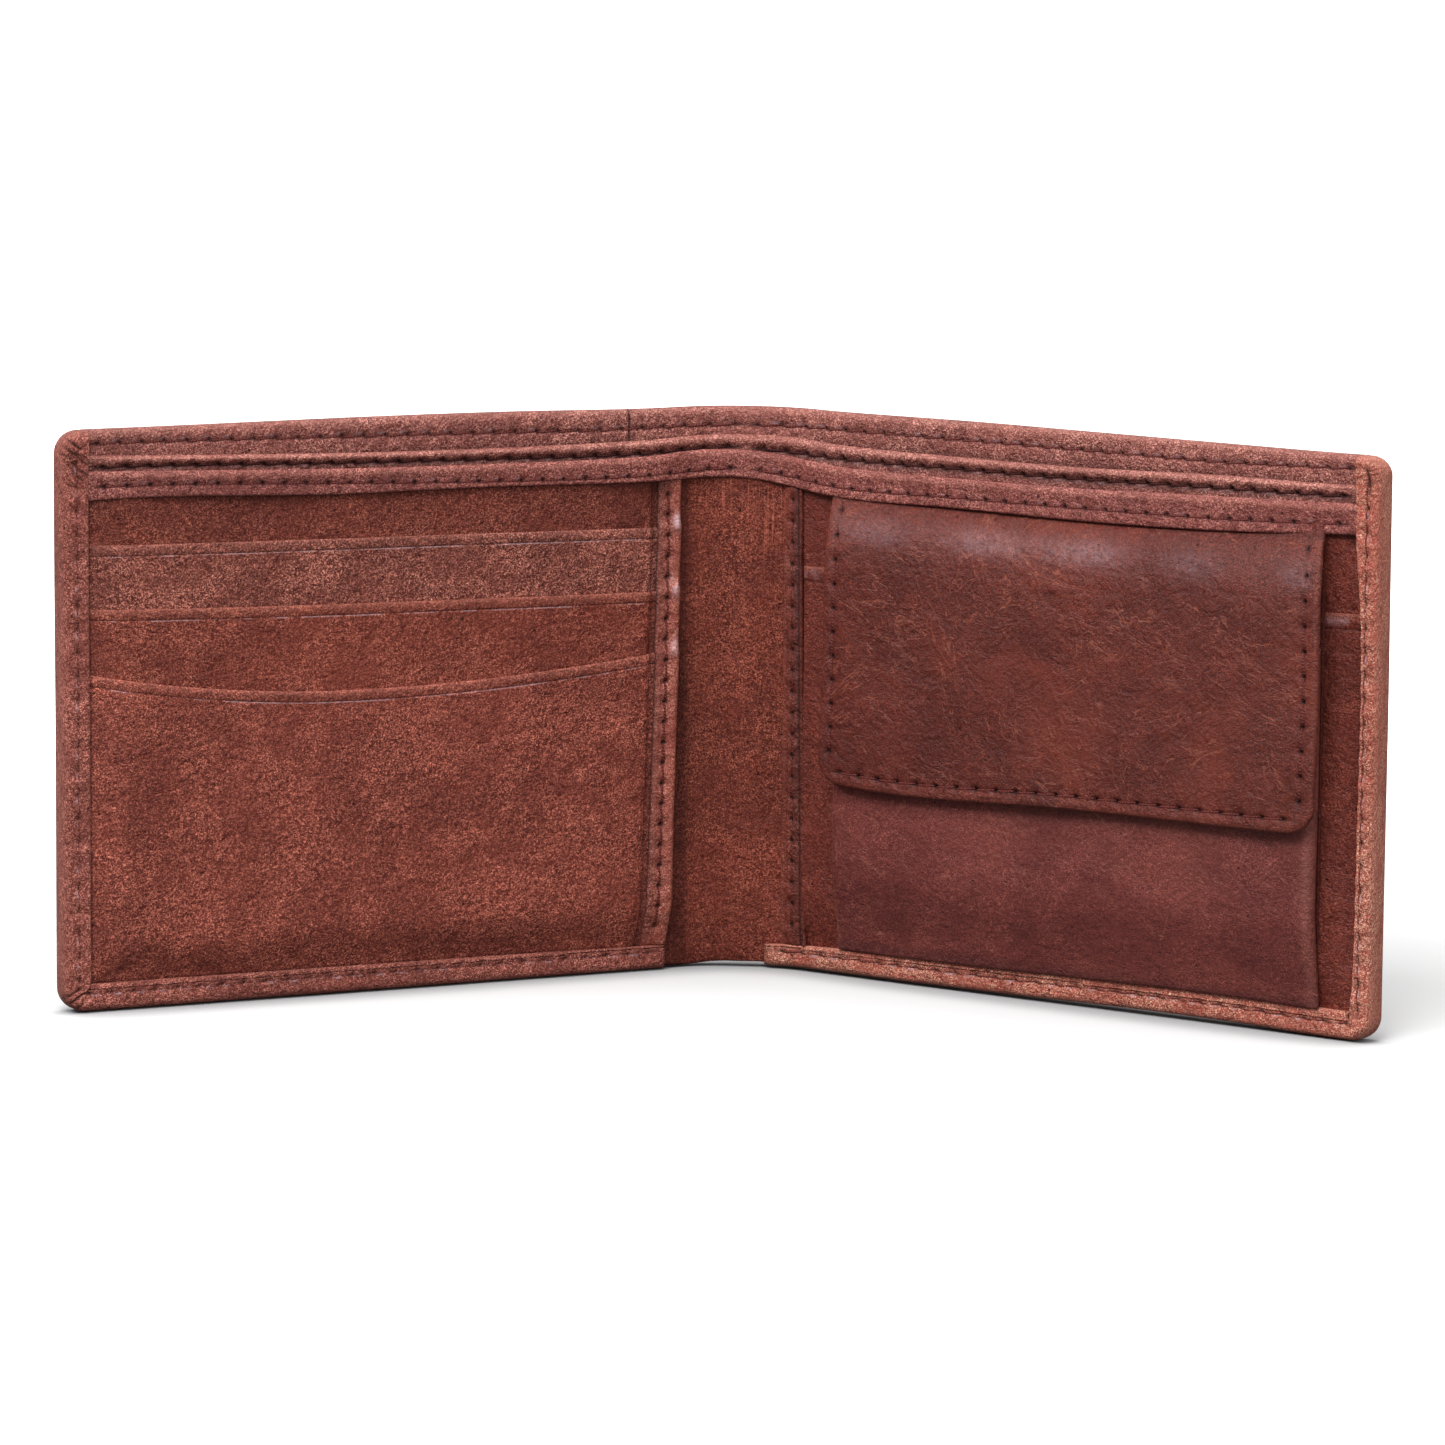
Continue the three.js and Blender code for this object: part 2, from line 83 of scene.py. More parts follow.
GROOVE = {LEFT: 2.45, RIGHT: 2.17}                               # stitched groove from the edge
PITCH = 3.7                                                      # stitch length


# ---------------------------------------------------------------- shaping functions
def unit(t):
    return np.clip(t, 0, 1)


def smooth(t):
    t = unit(t)
    return t * t * (3 - 2 * t)


def bell(x, width):
    return np.exp(-(x / width) ** 2)


def quarter(t):
    """Rises from 0 to 1 as a quarter circle."""
    return np.sqrt(unit(1 - (1 - unit(t)) ** 2))


def corner_cut(into, radius):
    """How far a rounded corner stands back, at a distance into its height."""
    return radius - np.sqrt(np.clip(radius * radius - into * into, 0, None))


def least(*terms):
    return np.minimum.reduce(terms)


def ripple(x, z, scale, seed):
    """Five crossing waves of about one wavelength."""
    rng = np.random.default_rng(seed)
    total = np.zeros(np.broadcast(x, z).shape)
    for _ in range(5):
        rate = rng.uniform(0.5, 1.6) * 2 * math.pi / scale
        turn = rng.uniform(0, 2 * math.pi)
        way = x * math.cos(turn) + z * math.sin(turn)
        total = total + np.sin(rate * way + rng.uniform(0, 6.28))
    return total / 5


def curve(*points):
    """A function through (position, value) points: cubic Hermite with secant tangents."""
    at, values = np.array(points, float).T
    slopes = np.diff(values) / np.diff(at)
    tangents = np.concatenate([[slopes[0]], (slopes[1:] + slopes[:-1]) / 2, [slopes[-1]]])

    def value(x):
        x = np.clip(x, at[0], at[-1])
        i = np.clip(np.searchsorted(at, x, side="right") - 1, 0, len(at) - 2)
        gap = at[i + 1] - at[i]
        t = (x - at[i]) / gap
        t2, t3 = t * t, t * t * t
        return ((2 * t3 - 3 * t2 + 1) * values[i] + (t3 - 2 * t2 + t) * gap * tangents[i]
                + (-2 * t3 + 3 * t2) * values[i + 1] + (t3 - t2) * gap * tangents[i + 1])
    return value


def along_line(x, z, x_a, z_a, x_b, z_b):
    """Fraction along the line from a to b, and the signed distance from it."""
    run, rise = x_b - x_a, z_b - z_a
    square = run * run + rise * rise
    part = ((x - x_a) * run + (z - z_a) * rise) / square
    return part, ((x - x_a) * rise - (z - z_a) * run) / math.sqrt(square)


# ---------------------------------------------------------------- from the flat wallet to the world
arc = np.linspace(0, BEND_END, 461)
arc_turn = -BEND * smooth((arc - 1.5) / 10)


def running_sum(slope):
    return np.concatenate([[0], np.cumsum((slope[1:] + slope[:-1]) / 2 * (arc[1] - arc[0]))])


arc_x = running_sum(np.cos(arc_turn))
arc_y = running_sum(np.sin(arc_turn))
# the bend ends on the line of the half as it is hinged in the frame
arc_x += (HALF_SPINE + (BEND_END - HALF_SPINE) * math.cos(BEND) - arc_x[-1]) * arc / BEND_END
arc_y += (-(BEND_END - HALF_SPINE) * math.sin(BEND) - arc_y[-1]) * arc / BEND_END

# the top edge is not quite straight: (x, rise)
top_sway = curve((-116, 0.1), (-100, 0.15), (-60, 0.45), (-40, 0.4), (-15, 0.05), (0, 0.25),
                 (15, 0.0), (40, 0.0), (60, -0.2), (85, -0.45), (108, -0.6), (116, -0.5))


def world(x, depth, z):
    """Points in metres."""
    x, depth, z = np.broadcast_arrays(*(np.asarray(c, float) for c in (x, depth, z)))
    away = np.abs(x)
    far = np.maximum(away - BEND_END, 0)
    near = np.minimum(away, BEND_END)
    turn = np.interp(near, arc, arc_turn)
    inward = depth - FOLD_DEPTH
    out_x = np.interp(near, arc, arc_x) + far * math.cos(BEND) + inward * np.sin(turn)
    out_y = np.interp(near, arc, arc_y) - far * math.sin(BEND) - inward * np.cos(turn)
    out_z = z + top_sway(x) * unit((z - 86) / 4)
    sign = np.where(x < 0, -1.0, 1.0)
    return np.stack([out_x * sign, out_y + FOLD_Y, out_z], -1) / 1000.0


def body_wave(x, z):
    """Slow unevenness that all layers share."""
    return 0.22 * smooth((np.abs(x) - 12) / 20) * ripple(x, z, 70, 11)


# heights and depths of the long edges across the wallet: (x, value)
hem_stitch_z = curve((-116, 87.8), (-100, 87.8), (-69, 87.4), (-45, 87.15), (-24, 86.9), (0, 87.2),
                     (20, 87.1), (64, 86.9), (86, 86.75), (105, 87.3), (116, 87.4))
edging_z = curve((-116, 86.3), (-100, 85.9), (-69, 85.15), (-45, 84.9), (-18, 85.2), (-9, 85.6),
                 (-1, 85.85), (7, 85.65), (17, 85.0), (40, 84.6), (62, 84.5), (87, 84.95),
                 (106, 84.85), (116, 84.9))
edging_stitch_z = curve((-116, 84.3), (-100, 84.35), (-69, 83.65), (-45, 83.3), (-18, 83.1),
                        (-9, 83.5), (-1, 83.75), (7, 83.25), (17, 82.8), (40, 82.75), (62, 82.7),
                        (87, 83.0), (106, 83.1), (116, 83.1))
band_z = curve((-116, 84.0), (-100, 83.65), (-70, 82.9), (-46, 82.6), (-19, 82.8), (-10, 83.4),
               (-1.5, 83.55), (7, 82.8), (18, 81.8), (40, 81.5), (62, 81.5), (88, 82.0),
               (106, 82.2), (116, 82.3))
band_stitch_z = curve((-116, 81.3), (-100, 81.5), (-70, 80.7), (-46, 79.95), (-19, 79.75),
                      (-10, 80.2), (-1.5, 80.5), (7, 79.7), (18, 78.55), (40, 78.5), (62, 78.5),
                      (88, 78.6), (106, 79.0), (116, 79.1))
band_low_z = curve((-116, 79.1), (-100, 79.5), (-70, 78.8), (-46, 78.9), (-19, 78.7), (-10, 78.9),
                   (-1.5, 79.05), (7, 78.0), (18, 76.85), (40, 76.75), (66, 76.4), (88, 76.65),
                   (106, 77.3), (116, 77.5))
band_depth = curve((-116, 4.3), (-110, 4.6), (-98, 5.4), (-24, 5.7), (-15, 6.2), (-9, 5.3),
                   (-3, 4.9), (4, 4.9), (9, 5.6), (16, 6.4), (26, 6.9), (92, 7.0), (101, 6.3),
                   (107, 5.4), (111, 4.9), (116, 4.7))


def edging_depth(x):
    return 3.4 + 0.6 * (band_depth(x) - 4.6)


# ---------------------------------------------------------------- materials
class Shader:
    """A node material with a Principled surface, and short ways to add nodes."""

    def __init__(self, name):
        self.mat = bpy.data.materials.new(name)
        self.mat.use_nodes = True
        self.tree = self.mat.node_tree
        self.tree.nodes.clear()
        out = self.tree.nodes.new("ShaderNodeOutputMaterial")
        self.bsdf = self.tree.nodes.new("ShaderNodeBsdfPrincipled")
        self.tree.links.new(self.bsdf.outputs[0], out.inputs[0])

    def put(self, socket, value):
        if isinstance(value, bpy.types.NodeSocket):
            self.tree.links.new(value, socket)
        elif hasattr(socket.default_value, "__len__"):
            value = list(value)
            if len(socket.default_value) == 4 and len(value) == 3:
                value.append(1.0)
            socket.default_value = value
        else:
            socket.default_value = value

    def node(self, kind, inputs, **props):
        node = self.tree.nodes.new(kind)
        for key, value in props.items():
            setattr(node, key, value)
        for key, value in inputs.items():
            self.put(node.inputs[key], value)
        return node

    def math(self, operation, a, b=0.0, clamp=False):
        return self.node("ShaderNodeMath", {0: a, 1: b}, operation=operation,
                         use_clamp=clamp).outputs[0]

    def mul(self, a, b, clamp=False):
        return self.math("MULTIPLY", a, b, clamp)

    def add(self, a, b, clamp=False):
        return self.math("ADD", a, b, clamp)

    def sub(self, a, b):
        return self.math("SUBTRACT", a, b)

    def most(self, a, b):
        return self.math("MAXIMUM", a, b)

    def off(self, a, centre):
        """Distance of a value from a centre."""
        return self.math("ABSOLUTE", self.sub(a, centre))

    def ramp(self, value, low, high, to=(0.0, 1.0)):
        return self.node("ShaderNodeMapRange",
                         {"Value": value, "From Min": low, "From Max": high,
                          "To Min": to[0], "To Max": to[1]},
                         interpolation_type="SMOOTHSTEP").outputs[0]

    def mix(self, part, a, b):
        return self.node("ShaderNodeMix", {0: part, 6: a, 7: b}, data_type="RGBA").outputs[2]

    def attribute(self, name, output):
        return self.node("ShaderNodeAttribute", {}, attribute_name=name).outputs[output]

    def mask(self):
        """The wear-and-highlight, dark and glint channels: wear with painted highlight, painted shade
        with dark stitch lines, and painted glints.
        """
        colour = self.attribute("mask", "Color")
        return self.node("ShaderNodeSeparateColor", {"Color": colour}).outputs

    def split(self, vector):
        return self.node("ShaderNodeSeparateXYZ", {"Vector": vector}).outputs

    def noise(self, vector, scale, detail=2.0, rough=0.55, warp=0.0):
        return self.node("ShaderNodeTexNoise",
                         {"Vector": vector, "Scale": scale, "Detail": detail,
                          "Roughness": rough, "Distortion": warp}).outputs["Fac"]

    def mapping(self, vector, scale=(1, 1, 1), turn=0, loc=(0, 0, 0)):
        return self.node("ShaderNodeMapping",
                         {"Vector": vector, "Scale": scale, "Rotation": (0, 0, turn),
                          "Location": loc}).outputs[0]

    def voronoi(self, vector, scale, feature):
        return self.node("ShaderNodeTexVoronoi",
                         {"Vector": vector, "Scale": scale, "Randomness": 1.0},
                         feature=feature).outputs["Distance"]

    def surface(self, colour, roughness, height, strength, distance, more):
        """Joins the results to the Principled node; more holds its other inputs."""
        bump = self.node("ShaderNodeBump",
                         {"Strength": strength, "Distance": distance, "Height": height})
        inputs = {"Base Color": colour, "Roughness": roughness, "Normal": bump.outputs[0], **more}
        for key, value in inputs.items():
            self.put(self.bsdf.inputs[key], value)
        return self.mat


def linear(colour):
    """sRGB 0-255 to linear."""
    parts = [c / 255.0 for c in colour]
    return [c / 12.92 if c <= 0.04045 else ((c + 0.055) / 1.055) ** 2.4 for c in parts]


def times(factor, colour):
    return [factor * c for c in colour]


SHADE = linear((34, 11, 12))       # painted shade of the dark mask in gaps, grooves, creases and holes, and the dark stitch lines
GLINT = linear((186, 158, 164))    # painted glints and sheen of the glint mask
# wear-and-highlight colour: real wear, and painted highlight on rolled edges, lips and bumps
WEAR_AND_HIGHLIGHT = linear((172, 120, 104))
VEIN = linear((178, 118, 94))
TAN = linear((136, 82, 62))
# creases of the hide: (turn, noise scale, half width, gate), long gently bent lines
VEINS = ((0.45, 0.16, 0.011, 0.49), (-0.7, 0.13, 0.010, 0.51),
         (1.2, 0.24, 0.014, 0.52), (0.1, 0.33, 0.016, 0.53))


def leather(name, tint, dark, mid, light, fleck, rough, grain, cloud, seed, spec,
            veins=0.0, streak=0.0, fleck_scale=1.0):
    """Clouded leather with pale fibre flecks, pores and a fine grain in the bump; from the mask it
    takes wear with painted highlight, painted glints and painted shade.
    """
    shader = Shader(name)
    mul, add, sub, mix = shader.mul, shader.add, shader.sub, shader.mix
    ramp, noise, mapping = shader.ramp, shader.noise, shader.mapping

    def tinted(colour, gain=1.0, grey=0.0):
        return [gain * c * ((1 - grey) * t + grey * sum(tint) / 3) for c, t in zip(colour, tint)]
    dark, mid, light = (tinted(linear(c)) for c in (dark, mid, light))
    light = [min(1.0, c) for c in times(2.0, light)]

    place = shader.attribute("rp", "Vector")
    wear_and_highlight_mask, dark_mask, glint_mask = list(shader.mask())[:3]
    shifted = mapping(place, loc=(seed * 37.1, seed * 19.7, seed * 5.3))
    slow = noise(shifted, scale=0.05, detail=3, rough=0.6, warp=0.5)
    patches = noise(shifted, scale=0.24, detail=3, rough=0.65, warp=0.8)
    clouds = add(mul(slow, 0.55), mul(patches, 0.45))
    base = mix(ramp(clouds, 0.37, 0.63, to=(0.5 - 0.5 * cloud, 0.5 + 0.5 * cloud)), dark, mid)

    # pale flecks: short fibres lying in two directions, thick and thin in patches
    fibre_a = noise(mapping(shifted, scale=(1.0, 0.5, 1.0), turn=0.5),
                    scale=2.1 * fleck_scale, rough=0.6, warp=1.2)
    fibre_b = noise(mapping(shifted, scale=(0.5, 1.0, 1.0), turn=-0.35, loc=(13, 5, 2)),
                    scale=2.35 * fleck_scale, rough=0.6, warp=1.2)
    fine = noise(shifted, scale=3.5 * fleck_scale, rough=0.6, warp=0.3)
    patch = ramp(noise(shifted, scale=0.11, detail=3, rough=0.62, warp=0.5),
                 0.38, 0.62, to=(0.5, 1.0))
    thread_a = ramp(shader.off(fibre_a, 0.53), 0.042, 0.008)
    thread_b = ramp(shader.off(fibre_b, 0.54), 0.042, 0.008)
    blot = shader.most(ramp(fibre_a, 0.61, 0.72), ramp(fibre_b, 0.62, 0.73))
    flecks = shader.most(shader.most(thread_a, thread_b), mul(blot, 0.6))
    flecks = mul(flecks, ramp(fine, 0.42, 0.56, to=(0.08, 1.0)))
    flecks = mul(flecks, mul(patch, fleck), clamp=True)
    colour = mix(flecks, mix(0.18, base, times(0.5, dark)), light)
    spots = noise(mapping(shifted, loc=(7, 3, 1)), scale=1.5 * fleck_scale, detail=2.5,
                  rough=0.65, warp=0.5)
    spots = mul(ramp(spots, 0.5, 0.37), 0.34 * (0.5 + fleck))
    colour = mix(mul(spots, sub(1.0, flecks)), colour, times(0.42, dark))

    pores = mul(ramp(shader.voronoi(shifted, 0.42, "F1"), 0.11, 0.05),
                ramp(noise(shifted, scale=0.3, detail=1), 0.5, 0.6))
    colour = mix(mul(pores, 0.75), colour, times(0.25, dark))
    height = add(mul(fibre_a, 0.5), add(mul(fibre_b, 0.4), mul(fine, 0.5)))
    height = add(height, mul(shader.voronoi(shifted, 1.4, "SMOOTH_F1"), 0.45))
    height = sub(height, mul(pores, 0.8))
    height = add(height, mul(patches, 2.0))

    if streak > 0:      # upright streaks, stronger towards the top
        lines = noise(mapping(shifted, scale=(1.9, 0.035, 0.3)), scale=1.0, detail=3, rough=0.65)
        upward = shader.split(place)[1]
        gate = mul(mul(ramp(noise(shifted, scale=0.09, rough=0.5), 0.36, 0.62),
                       ramp(upward, 35, 74, to=(0.12, 1.1))), streak)
        colour = mix(mul(ramp(lines, 0.52, 0.68), mul(gate, 0.45)), colour, light)
        colour = mix(mul(ramp(lines, 0.46, 0.36), mul(gate, 0.5)), colour, times(0.4, dark))
        height = add(height, mul(lines, 1.6 * streak))

    if veins > 0:
        total = None
        for k, (turn, scale, width, low) in enumerate(VEINS):
            turned = mapping(mapping(shifted, turn=turn, loc=(31 * k, 17 * k, 0)),
                             scale=(0.34, 1.0, 1.0))
            bands = noise(turned, scale=scale, detail=3.5, rough=0.62, warp=0.35)
            line = ramp(shader.off(bands, 0.5), width, 0.0)
            gate = noise(mapping(shifted, loc=(5 + 11 * k, 9 * k, 8)), scale=0.055,
                         rough=0.5, warp=0.4)
            line = mul(line, ramp(gate, low, low + 0.12))
            total = line if total is None else shader.most(total, line)
        total = mul(total, ramp(fine, 0.36, 0.58, to=(0.1, 1.0)))
        colour = mix(mul(total, 0.46 * veins), colour, tinted(VEIN, gain=1.6, grey=0.4))
        tan = ramp(noise(mapping(shifted, loc=(2, 2, 9)), scale=0.05, detail=3, rough=0.62,
                         warp=0.5), 0.48, 0.68)
        colour = mix(mul(tan, 0.26 * veins), colour, tinted(TAN, gain=1.25))
        height = sub(height, mul(total, 0.3 * veins))

    # lighter where worn, and painted highlight on rolled edges, lips and bumps
    worn = mul(wear_and_highlight_mask, ramp(fine, 0.3, 0.6, to=(0.5, 1.0)))
    colour = mix(mul(worn, 0.5), colour, mix(flecks, tinted(WEAR_AND_HIGHLIGHT, gain=1.3, grey=0.5), light))
    if veins > 0.9:
        broken = ramp(noise(shifted, scale=1.1, detail=4, rough=0.7), 0.34, 0.62, to=(0.25, 1.0))
    else:
        broken = ramp(noise(mapping(shifted, scale=(0.3, 0.2, 1)), scale=0.5, detail=4,
                            rough=0.75), 0.44, 0.54)
    # painted glints and sheen
    glints = mul(glint_mask, broken)
    colour = mix(mul(glints, 0.8), colour, GLINT)
    # painted shade, and the dark stitch lines
    colour = mix(mul(dark_mask, 0.9, clamp=True), colour, SHADE)
    roughness = add(rough - 0.1, mul(noise(shifted, scale=1.3, detail=3, rough=0.6), 0.2))
    roughness = sub(roughness, mul(glints, 0.2))
    roughness = add(roughness, mul(dark_mask, 0.25), clamp=True)
    return shader.surface(colour, roughness, height, strength=min(1.0, 0.9 * grain),
                          distance=0.00042, more={"Specular IOR Level": spec})


def fabric(name, low, high, pitch):
    """Plain-weave lining: two crossing sets of threads."""
    shader = Shader(name)
    mul, ramp = shader.mul, shader.ramp
    place = shader.attribute("rp", "Vector")
    along = shader.split(place)
    warp, weft = (shader.math("SINE", mul(along[i], 2 * math.pi / pitch)) for i in (0, 1))
    weave = mul(warp, weft)
    cloud = shader.noise(place, scale=1.5, detail=3, rough=0.6)
    colour = shader.mix(ramp(weave, -0.8, 0.8), linear(low), linear(high))
    colour = shader.mix(ramp(cloud, 0.35, 0.7, to=(0, 0.5)), colour, times(0.55, linear(low)))
    # painted shade from the dark mask, along the outline
    dark = shader.mask()[1]
    colour = shader.mix(mul(dark, 0.8, clamp=True), colour, linear((28, 14, 12)))
    return shader.surface(colour, 0.85, shader.add(weave, mul(cloud, 0.6)), strength=0.7,
                          distance=0.00012, more={"Specular IOR Level": 0.2})


def twisted_thread(name, low, high):
    """The ply shows as slanted bands (rp: x along the stitch, y round it)."""
    shader = Shader(name)
    place = shader.attribute("rp", "Vector")
    along = shader.split(place)
    twist = shader.math("SINE", shader.add(shader.mul(along[0], 11.0), along[1]))
    cloud = shader.noise(place, scale=2.2, rough=0.6)
    colour = shader.mix(shader.ramp(twist, -1, 1), linear(low), linear(high))
    colour = shader.mix(shader.ramp(cloud, 0.4, 0.7, to=(0, 0.45)), colour,
                        times(1.35, linear(high)))
    return shader.surface(colour, 0.6, twist, strength=0.8, distance=0.00008,
                          more={"Specular IOR Level": 0.15})


def plated_metal(name):
    shader = Shader(name)
    place = shader.node("ShaderNodeTexCoord", {}).outputs["Object"]
    cloud = shader.noise(place, scale=900.0, detail=3, rough=0.6)
    grain = shader.noise(place, scale=5200.0, rough=0.6)
    colour = shader.mix(shader.ramp(cloud, 0.35, 0.7), linear((196, 190, 180)),
                        linear((168, 160, 150)))
    roughness = shader.ramp(cloud, 0.3, 0.7, to=(0.22, 0.4))
    return shader.surface(colour, roughness, grain, strength=0.25, distance=0.00004,
                          more={"Metallic": 1.0})


BORDER_LOOK = dict(dark=(112, 60, 50), mid=(148, 86, 72), light=(214, 156, 134),
                   fleck=0.78, rough=0.54, grain=1.15, cloud=0.5, spec=0.18)
MAT = {
    # both turned edges are one leather: the right copy's much lighter tint is painted light, the left
    # copy's darker tint painted shade
    "border_r": leather("leather_border_lit_right", tint=(1.441, 0.924, 0.891), seed=31,
                        **BORDER_LOOK),
    "border": leather("leather_border", tint=(0.727, 0.542, 0.568), seed=1, **BORDER_LOOK),
    "outer": leather(
        "leather_outer", tint=(0.808, 0.630, 0.645),
        dark=(96, 48, 40), mid=(130, 70, 57), light=(192, 128, 104),
        fleck=0.5, rough=0.50, grain=1.1, cloud=0.8, veins=0.5, seed=2, spec=0.2),
    "hem": leather(
        "leather_hem", tint=(0.889, 0.709, 0.759),
        dark=(100, 52, 45), mid=(134, 76, 65), light=(212, 152, 132),
        fleck=0.68, rough=0.46, grain=1.2, cloud=0.5, seed=3, spec=0.24),
    "band": leather(
        "leather_band", tint=(0.994, 0.765, 0.795),
        dark=(94, 48, 43), mid=(124, 68, 60), light=(200, 140, 124),
        fleck=0.55, rough=0.46, grain=1.05, cloud=0.5, seed=4, spec=0.22),
    "slot1": leather(
        "leather_slot_top", tint=(0.739, 0.571, 0.646),
        dark=(92, 48, 39), mid=(124, 68, 54), light=(208, 150, 122),
        fleck=0.8, rough=0.54, grain=1.1, cloud=0.8, seed=5, spec=0.13),
    "slot2": leather(
        "leather_slot_middle", tint=(0.824, 0.648, 0.649),
        dark=(96, 42, 35), mid=(124, 60, 47), light=(192, 126, 102),
        fleck=0.58, rough=0.48, grain=1.0, cloud=0.8, seed=6, spec=0.15),
    "slot3": leather(
        "leather_slot_bottom", tint=(0.782, 0.601, 0.639),
        dark=(100, 46, 37), mid=(130, 66, 52), light=(200, 132, 106),
        fleck=0.7, rough=0.50, grain=1.05, cloud=0.85, seed=7, spec=0.15),
    "base": leather(
        "leather_base", tint=(0.815, 0.635, 0.630),
        dark=(84, 38, 31), mid=(112, 54, 42), light=(180, 118, 98),
        fleck=0.55, rough=0.50, grain=0.95, cloud=0.7, seed=8, spec=0.14),
    "strip": leather(
        "leather_strip", tint=(1.580, 1.030, 0.913),
        dark=(92, 46, 40), mid=(120, 66, 57), light=(190, 130, 116),
        fleck=0.5, rough=0.40, grain=0.95, cloud=0.5, seed=9, spec=0.28),
    "rstrip": leather(
        "leather_fold_strip", tint=(0.824, 0.587, 0.527),
        dark=(84, 38, 33), mid=(112, 56, 47), light=(176, 116, 100),
        fleck=0.5, rough=0.42, grain=0.9, cloud=0.6, streak=0.25, seed=19, spec=0.22),
    "spine": leather(
        "leather_spine_lining", tint=(0.699, 0.508, 0.508),
        dark=(90, 40, 32), mid=(122, 60, 47), light=(192, 124, 98),
        fleck=0.6, rough=0.50, grain=0.95, cloud=0.8, streak=0.5, seed=10, spec=0.14),
    "base_r": leather(
        "leather_base_right", tint=(0.895, 0.576, 0.485),
        dark=(80, 36, 31), mid=(108, 52, 43), light=(158, 96, 80),
        fleck=0.45, rough=0.46, grain=0.8, cloud=0.6, seed=11, spec=0.16),
    "slip": leather(
        "leather_slip", tint=(0.931, 0.576, 0.466),
        dark=(80, 38, 34), mid=(108, 56, 49), light=(158, 104, 92),
        fleck=0.45, rough=0.42, grain=0.8, cloud=0.6, seed=21, spec=0.2),
    "coin": leather(
        "leather_coin_front", tint=(0.858, 0.718, 0.819),
        dark=(84, 38, 34), mid=(112, 55, 47), light=(164, 100, 82), fleck=0.36, rough=0.40,
        grain=0.6, cloud=0.55, veins=0.35, seed=12, fleck_scale=1.25, spec=0.22),
    "flap": leather(
        "leather_flap", tint=(0.622, 0.365, 0.358),
        dark=(80, 40, 36), mid=(112, 60, 50), light=(168, 108, 84), fleck=0.42, rough=0.34,
        grain=0.75, cloud=0.7, veins=1.0, seed=13, spec=0.22, fleck_scale=1.35),
    "lining": fabric("lining_weave", low=(70, 36, 32), high=(92, 52, 46), pitch=0.42),
    "thread": twisted_thread("thread_twist", low=(70, 28, 27), high=(106, 50, 45)),
    "thread_dark": twisted_thread("thread_twist_dark", low=(42, 16, 16), high=(66, 29, 26)),
    "metal": plated_metal("plated_steel"),
}


# ---------------------------------------------------------------- mesh building
def make(name, verts, faces, mat, rp=None, mask=None, sharp=None):
    """A smooth mesh object. rp is the texture place, mask the paint of wear with painted highlight, of
    painted shade with dark stitch lines and of painted glints, and sharp marks vertices whose shared
    edges stay sharp."""
    mesh = bpy.data.meshes.new(name)
    mesh.from_pydata([tuple(p) for p in verts], [], faces)
    mesh.validate()
    mesh.polygons.foreach_set("use_smooth", [True] * len(mesh.polygons))
    if rp is not None:
        layer = mesh.attributes.new("rp", "FLOAT_VECTOR", "POINT")
        layer.data.foreach_set("vector", np.ascontiguousarray(rp, np.float32).ravel())
    if mask is not None:
        layer = mesh.attributes.new("mask", "FLOAT_COLOR", "POINT")
        rgba = np.concatenate([mask, np.ones((len(mask), 1))], 1)
        layer.data.foreach_set("color", np.ascontiguousarray(rgba, np.float32).ravel())
    mesh.materials.append(MAT[mat])
    mesh.update()
    ob = bpy.data.objects.new(name, mesh)
    bpy.context.scene.collection.objects.link(ob)
    if sharp is not None:
        layer = (mesh.attributes.get("sharp_edge")
                 or mesh.attributes.new("sharp_edge", "BOOLEAN", "EDGE"))
        ends = np.empty(len(mesh.edges) * 2, np.int32)
        mesh.edges.foreach_get("vertices", ends)
        ends = ends.reshape(-1, 2)
        layer.data.foreach_set("value", sharp[ends[:, 0]] & sharp[ends[:, 1]])
    return ob


def tidy(ob, merge=True):
    """Merges coincident points and turns the faces outwards."""
    bm = bmesh.new()
    bm.from_mesh(ob.data)
    if merge:
        bmesh.ops.remove_doubles(bm, verts=bm.verts, dist=2e-6)
    bmesh.ops.recalc_face_normals(bm, faces=bm.faces)
    bm.to_mesh(ob.data)
    bm.free()


def thinned(lines, gap):
    keep = [lines[0]]
    for line in lines[1:]:
        if line - keep[-1] > gap:
            keep.append(line)
    return keep


def span(start, end, step, extra=(), first=True, last=True):
    """Grid lines from start to end, closer near the chosen ends and at any extra line."""
    count = max(2, int(math.ceil((end - start) / step)))
    lines = {round(start + (end - start) * i / count, 4) for i in range(count + 1)}
    for inset_ in (0.0, 0.05, 0.16, 0.34, 0.6, 0.95):
        if first:
            lines.add(round(start + inset_, 4))
        if last:
            lines.add(round(end - inset_, 4))
    lines |= {round(e, 4) for e in extra if start < e < end}
    lines = sorted(p for p in lines if start - 1e-6 <= p <= end + 1e-6)
    keep = thinned(lines, 0.045)
    keep[-1] = lines[-1]
    return np.array(keep)


def holes(start, end, pitch=PITCH):
    count = max(1, int(round((end - start) / pitch)))
    return start + (end - start) * (np.arange(count) + 0.5) / count


def hole_lines(spots, pitch=PITCH):
    """Grid lines that resolve each stitch hole and the stitch after it."""
    lines = []
    for hole in spots:
        lines += [hole + step for step in (-0.42, -0.2, 0, 0.2, 0.42)]
        lines += [hole + pitch * part for part in (0.22, 0.36, 0.5, 0.64, 0.78)]
    return lines


SEAM_STEPS = (-0.6, -0.4, -0.25, -0.12, 0, 0.12, 0.25, 0.4, 0.6)   # grid lines beside a seam


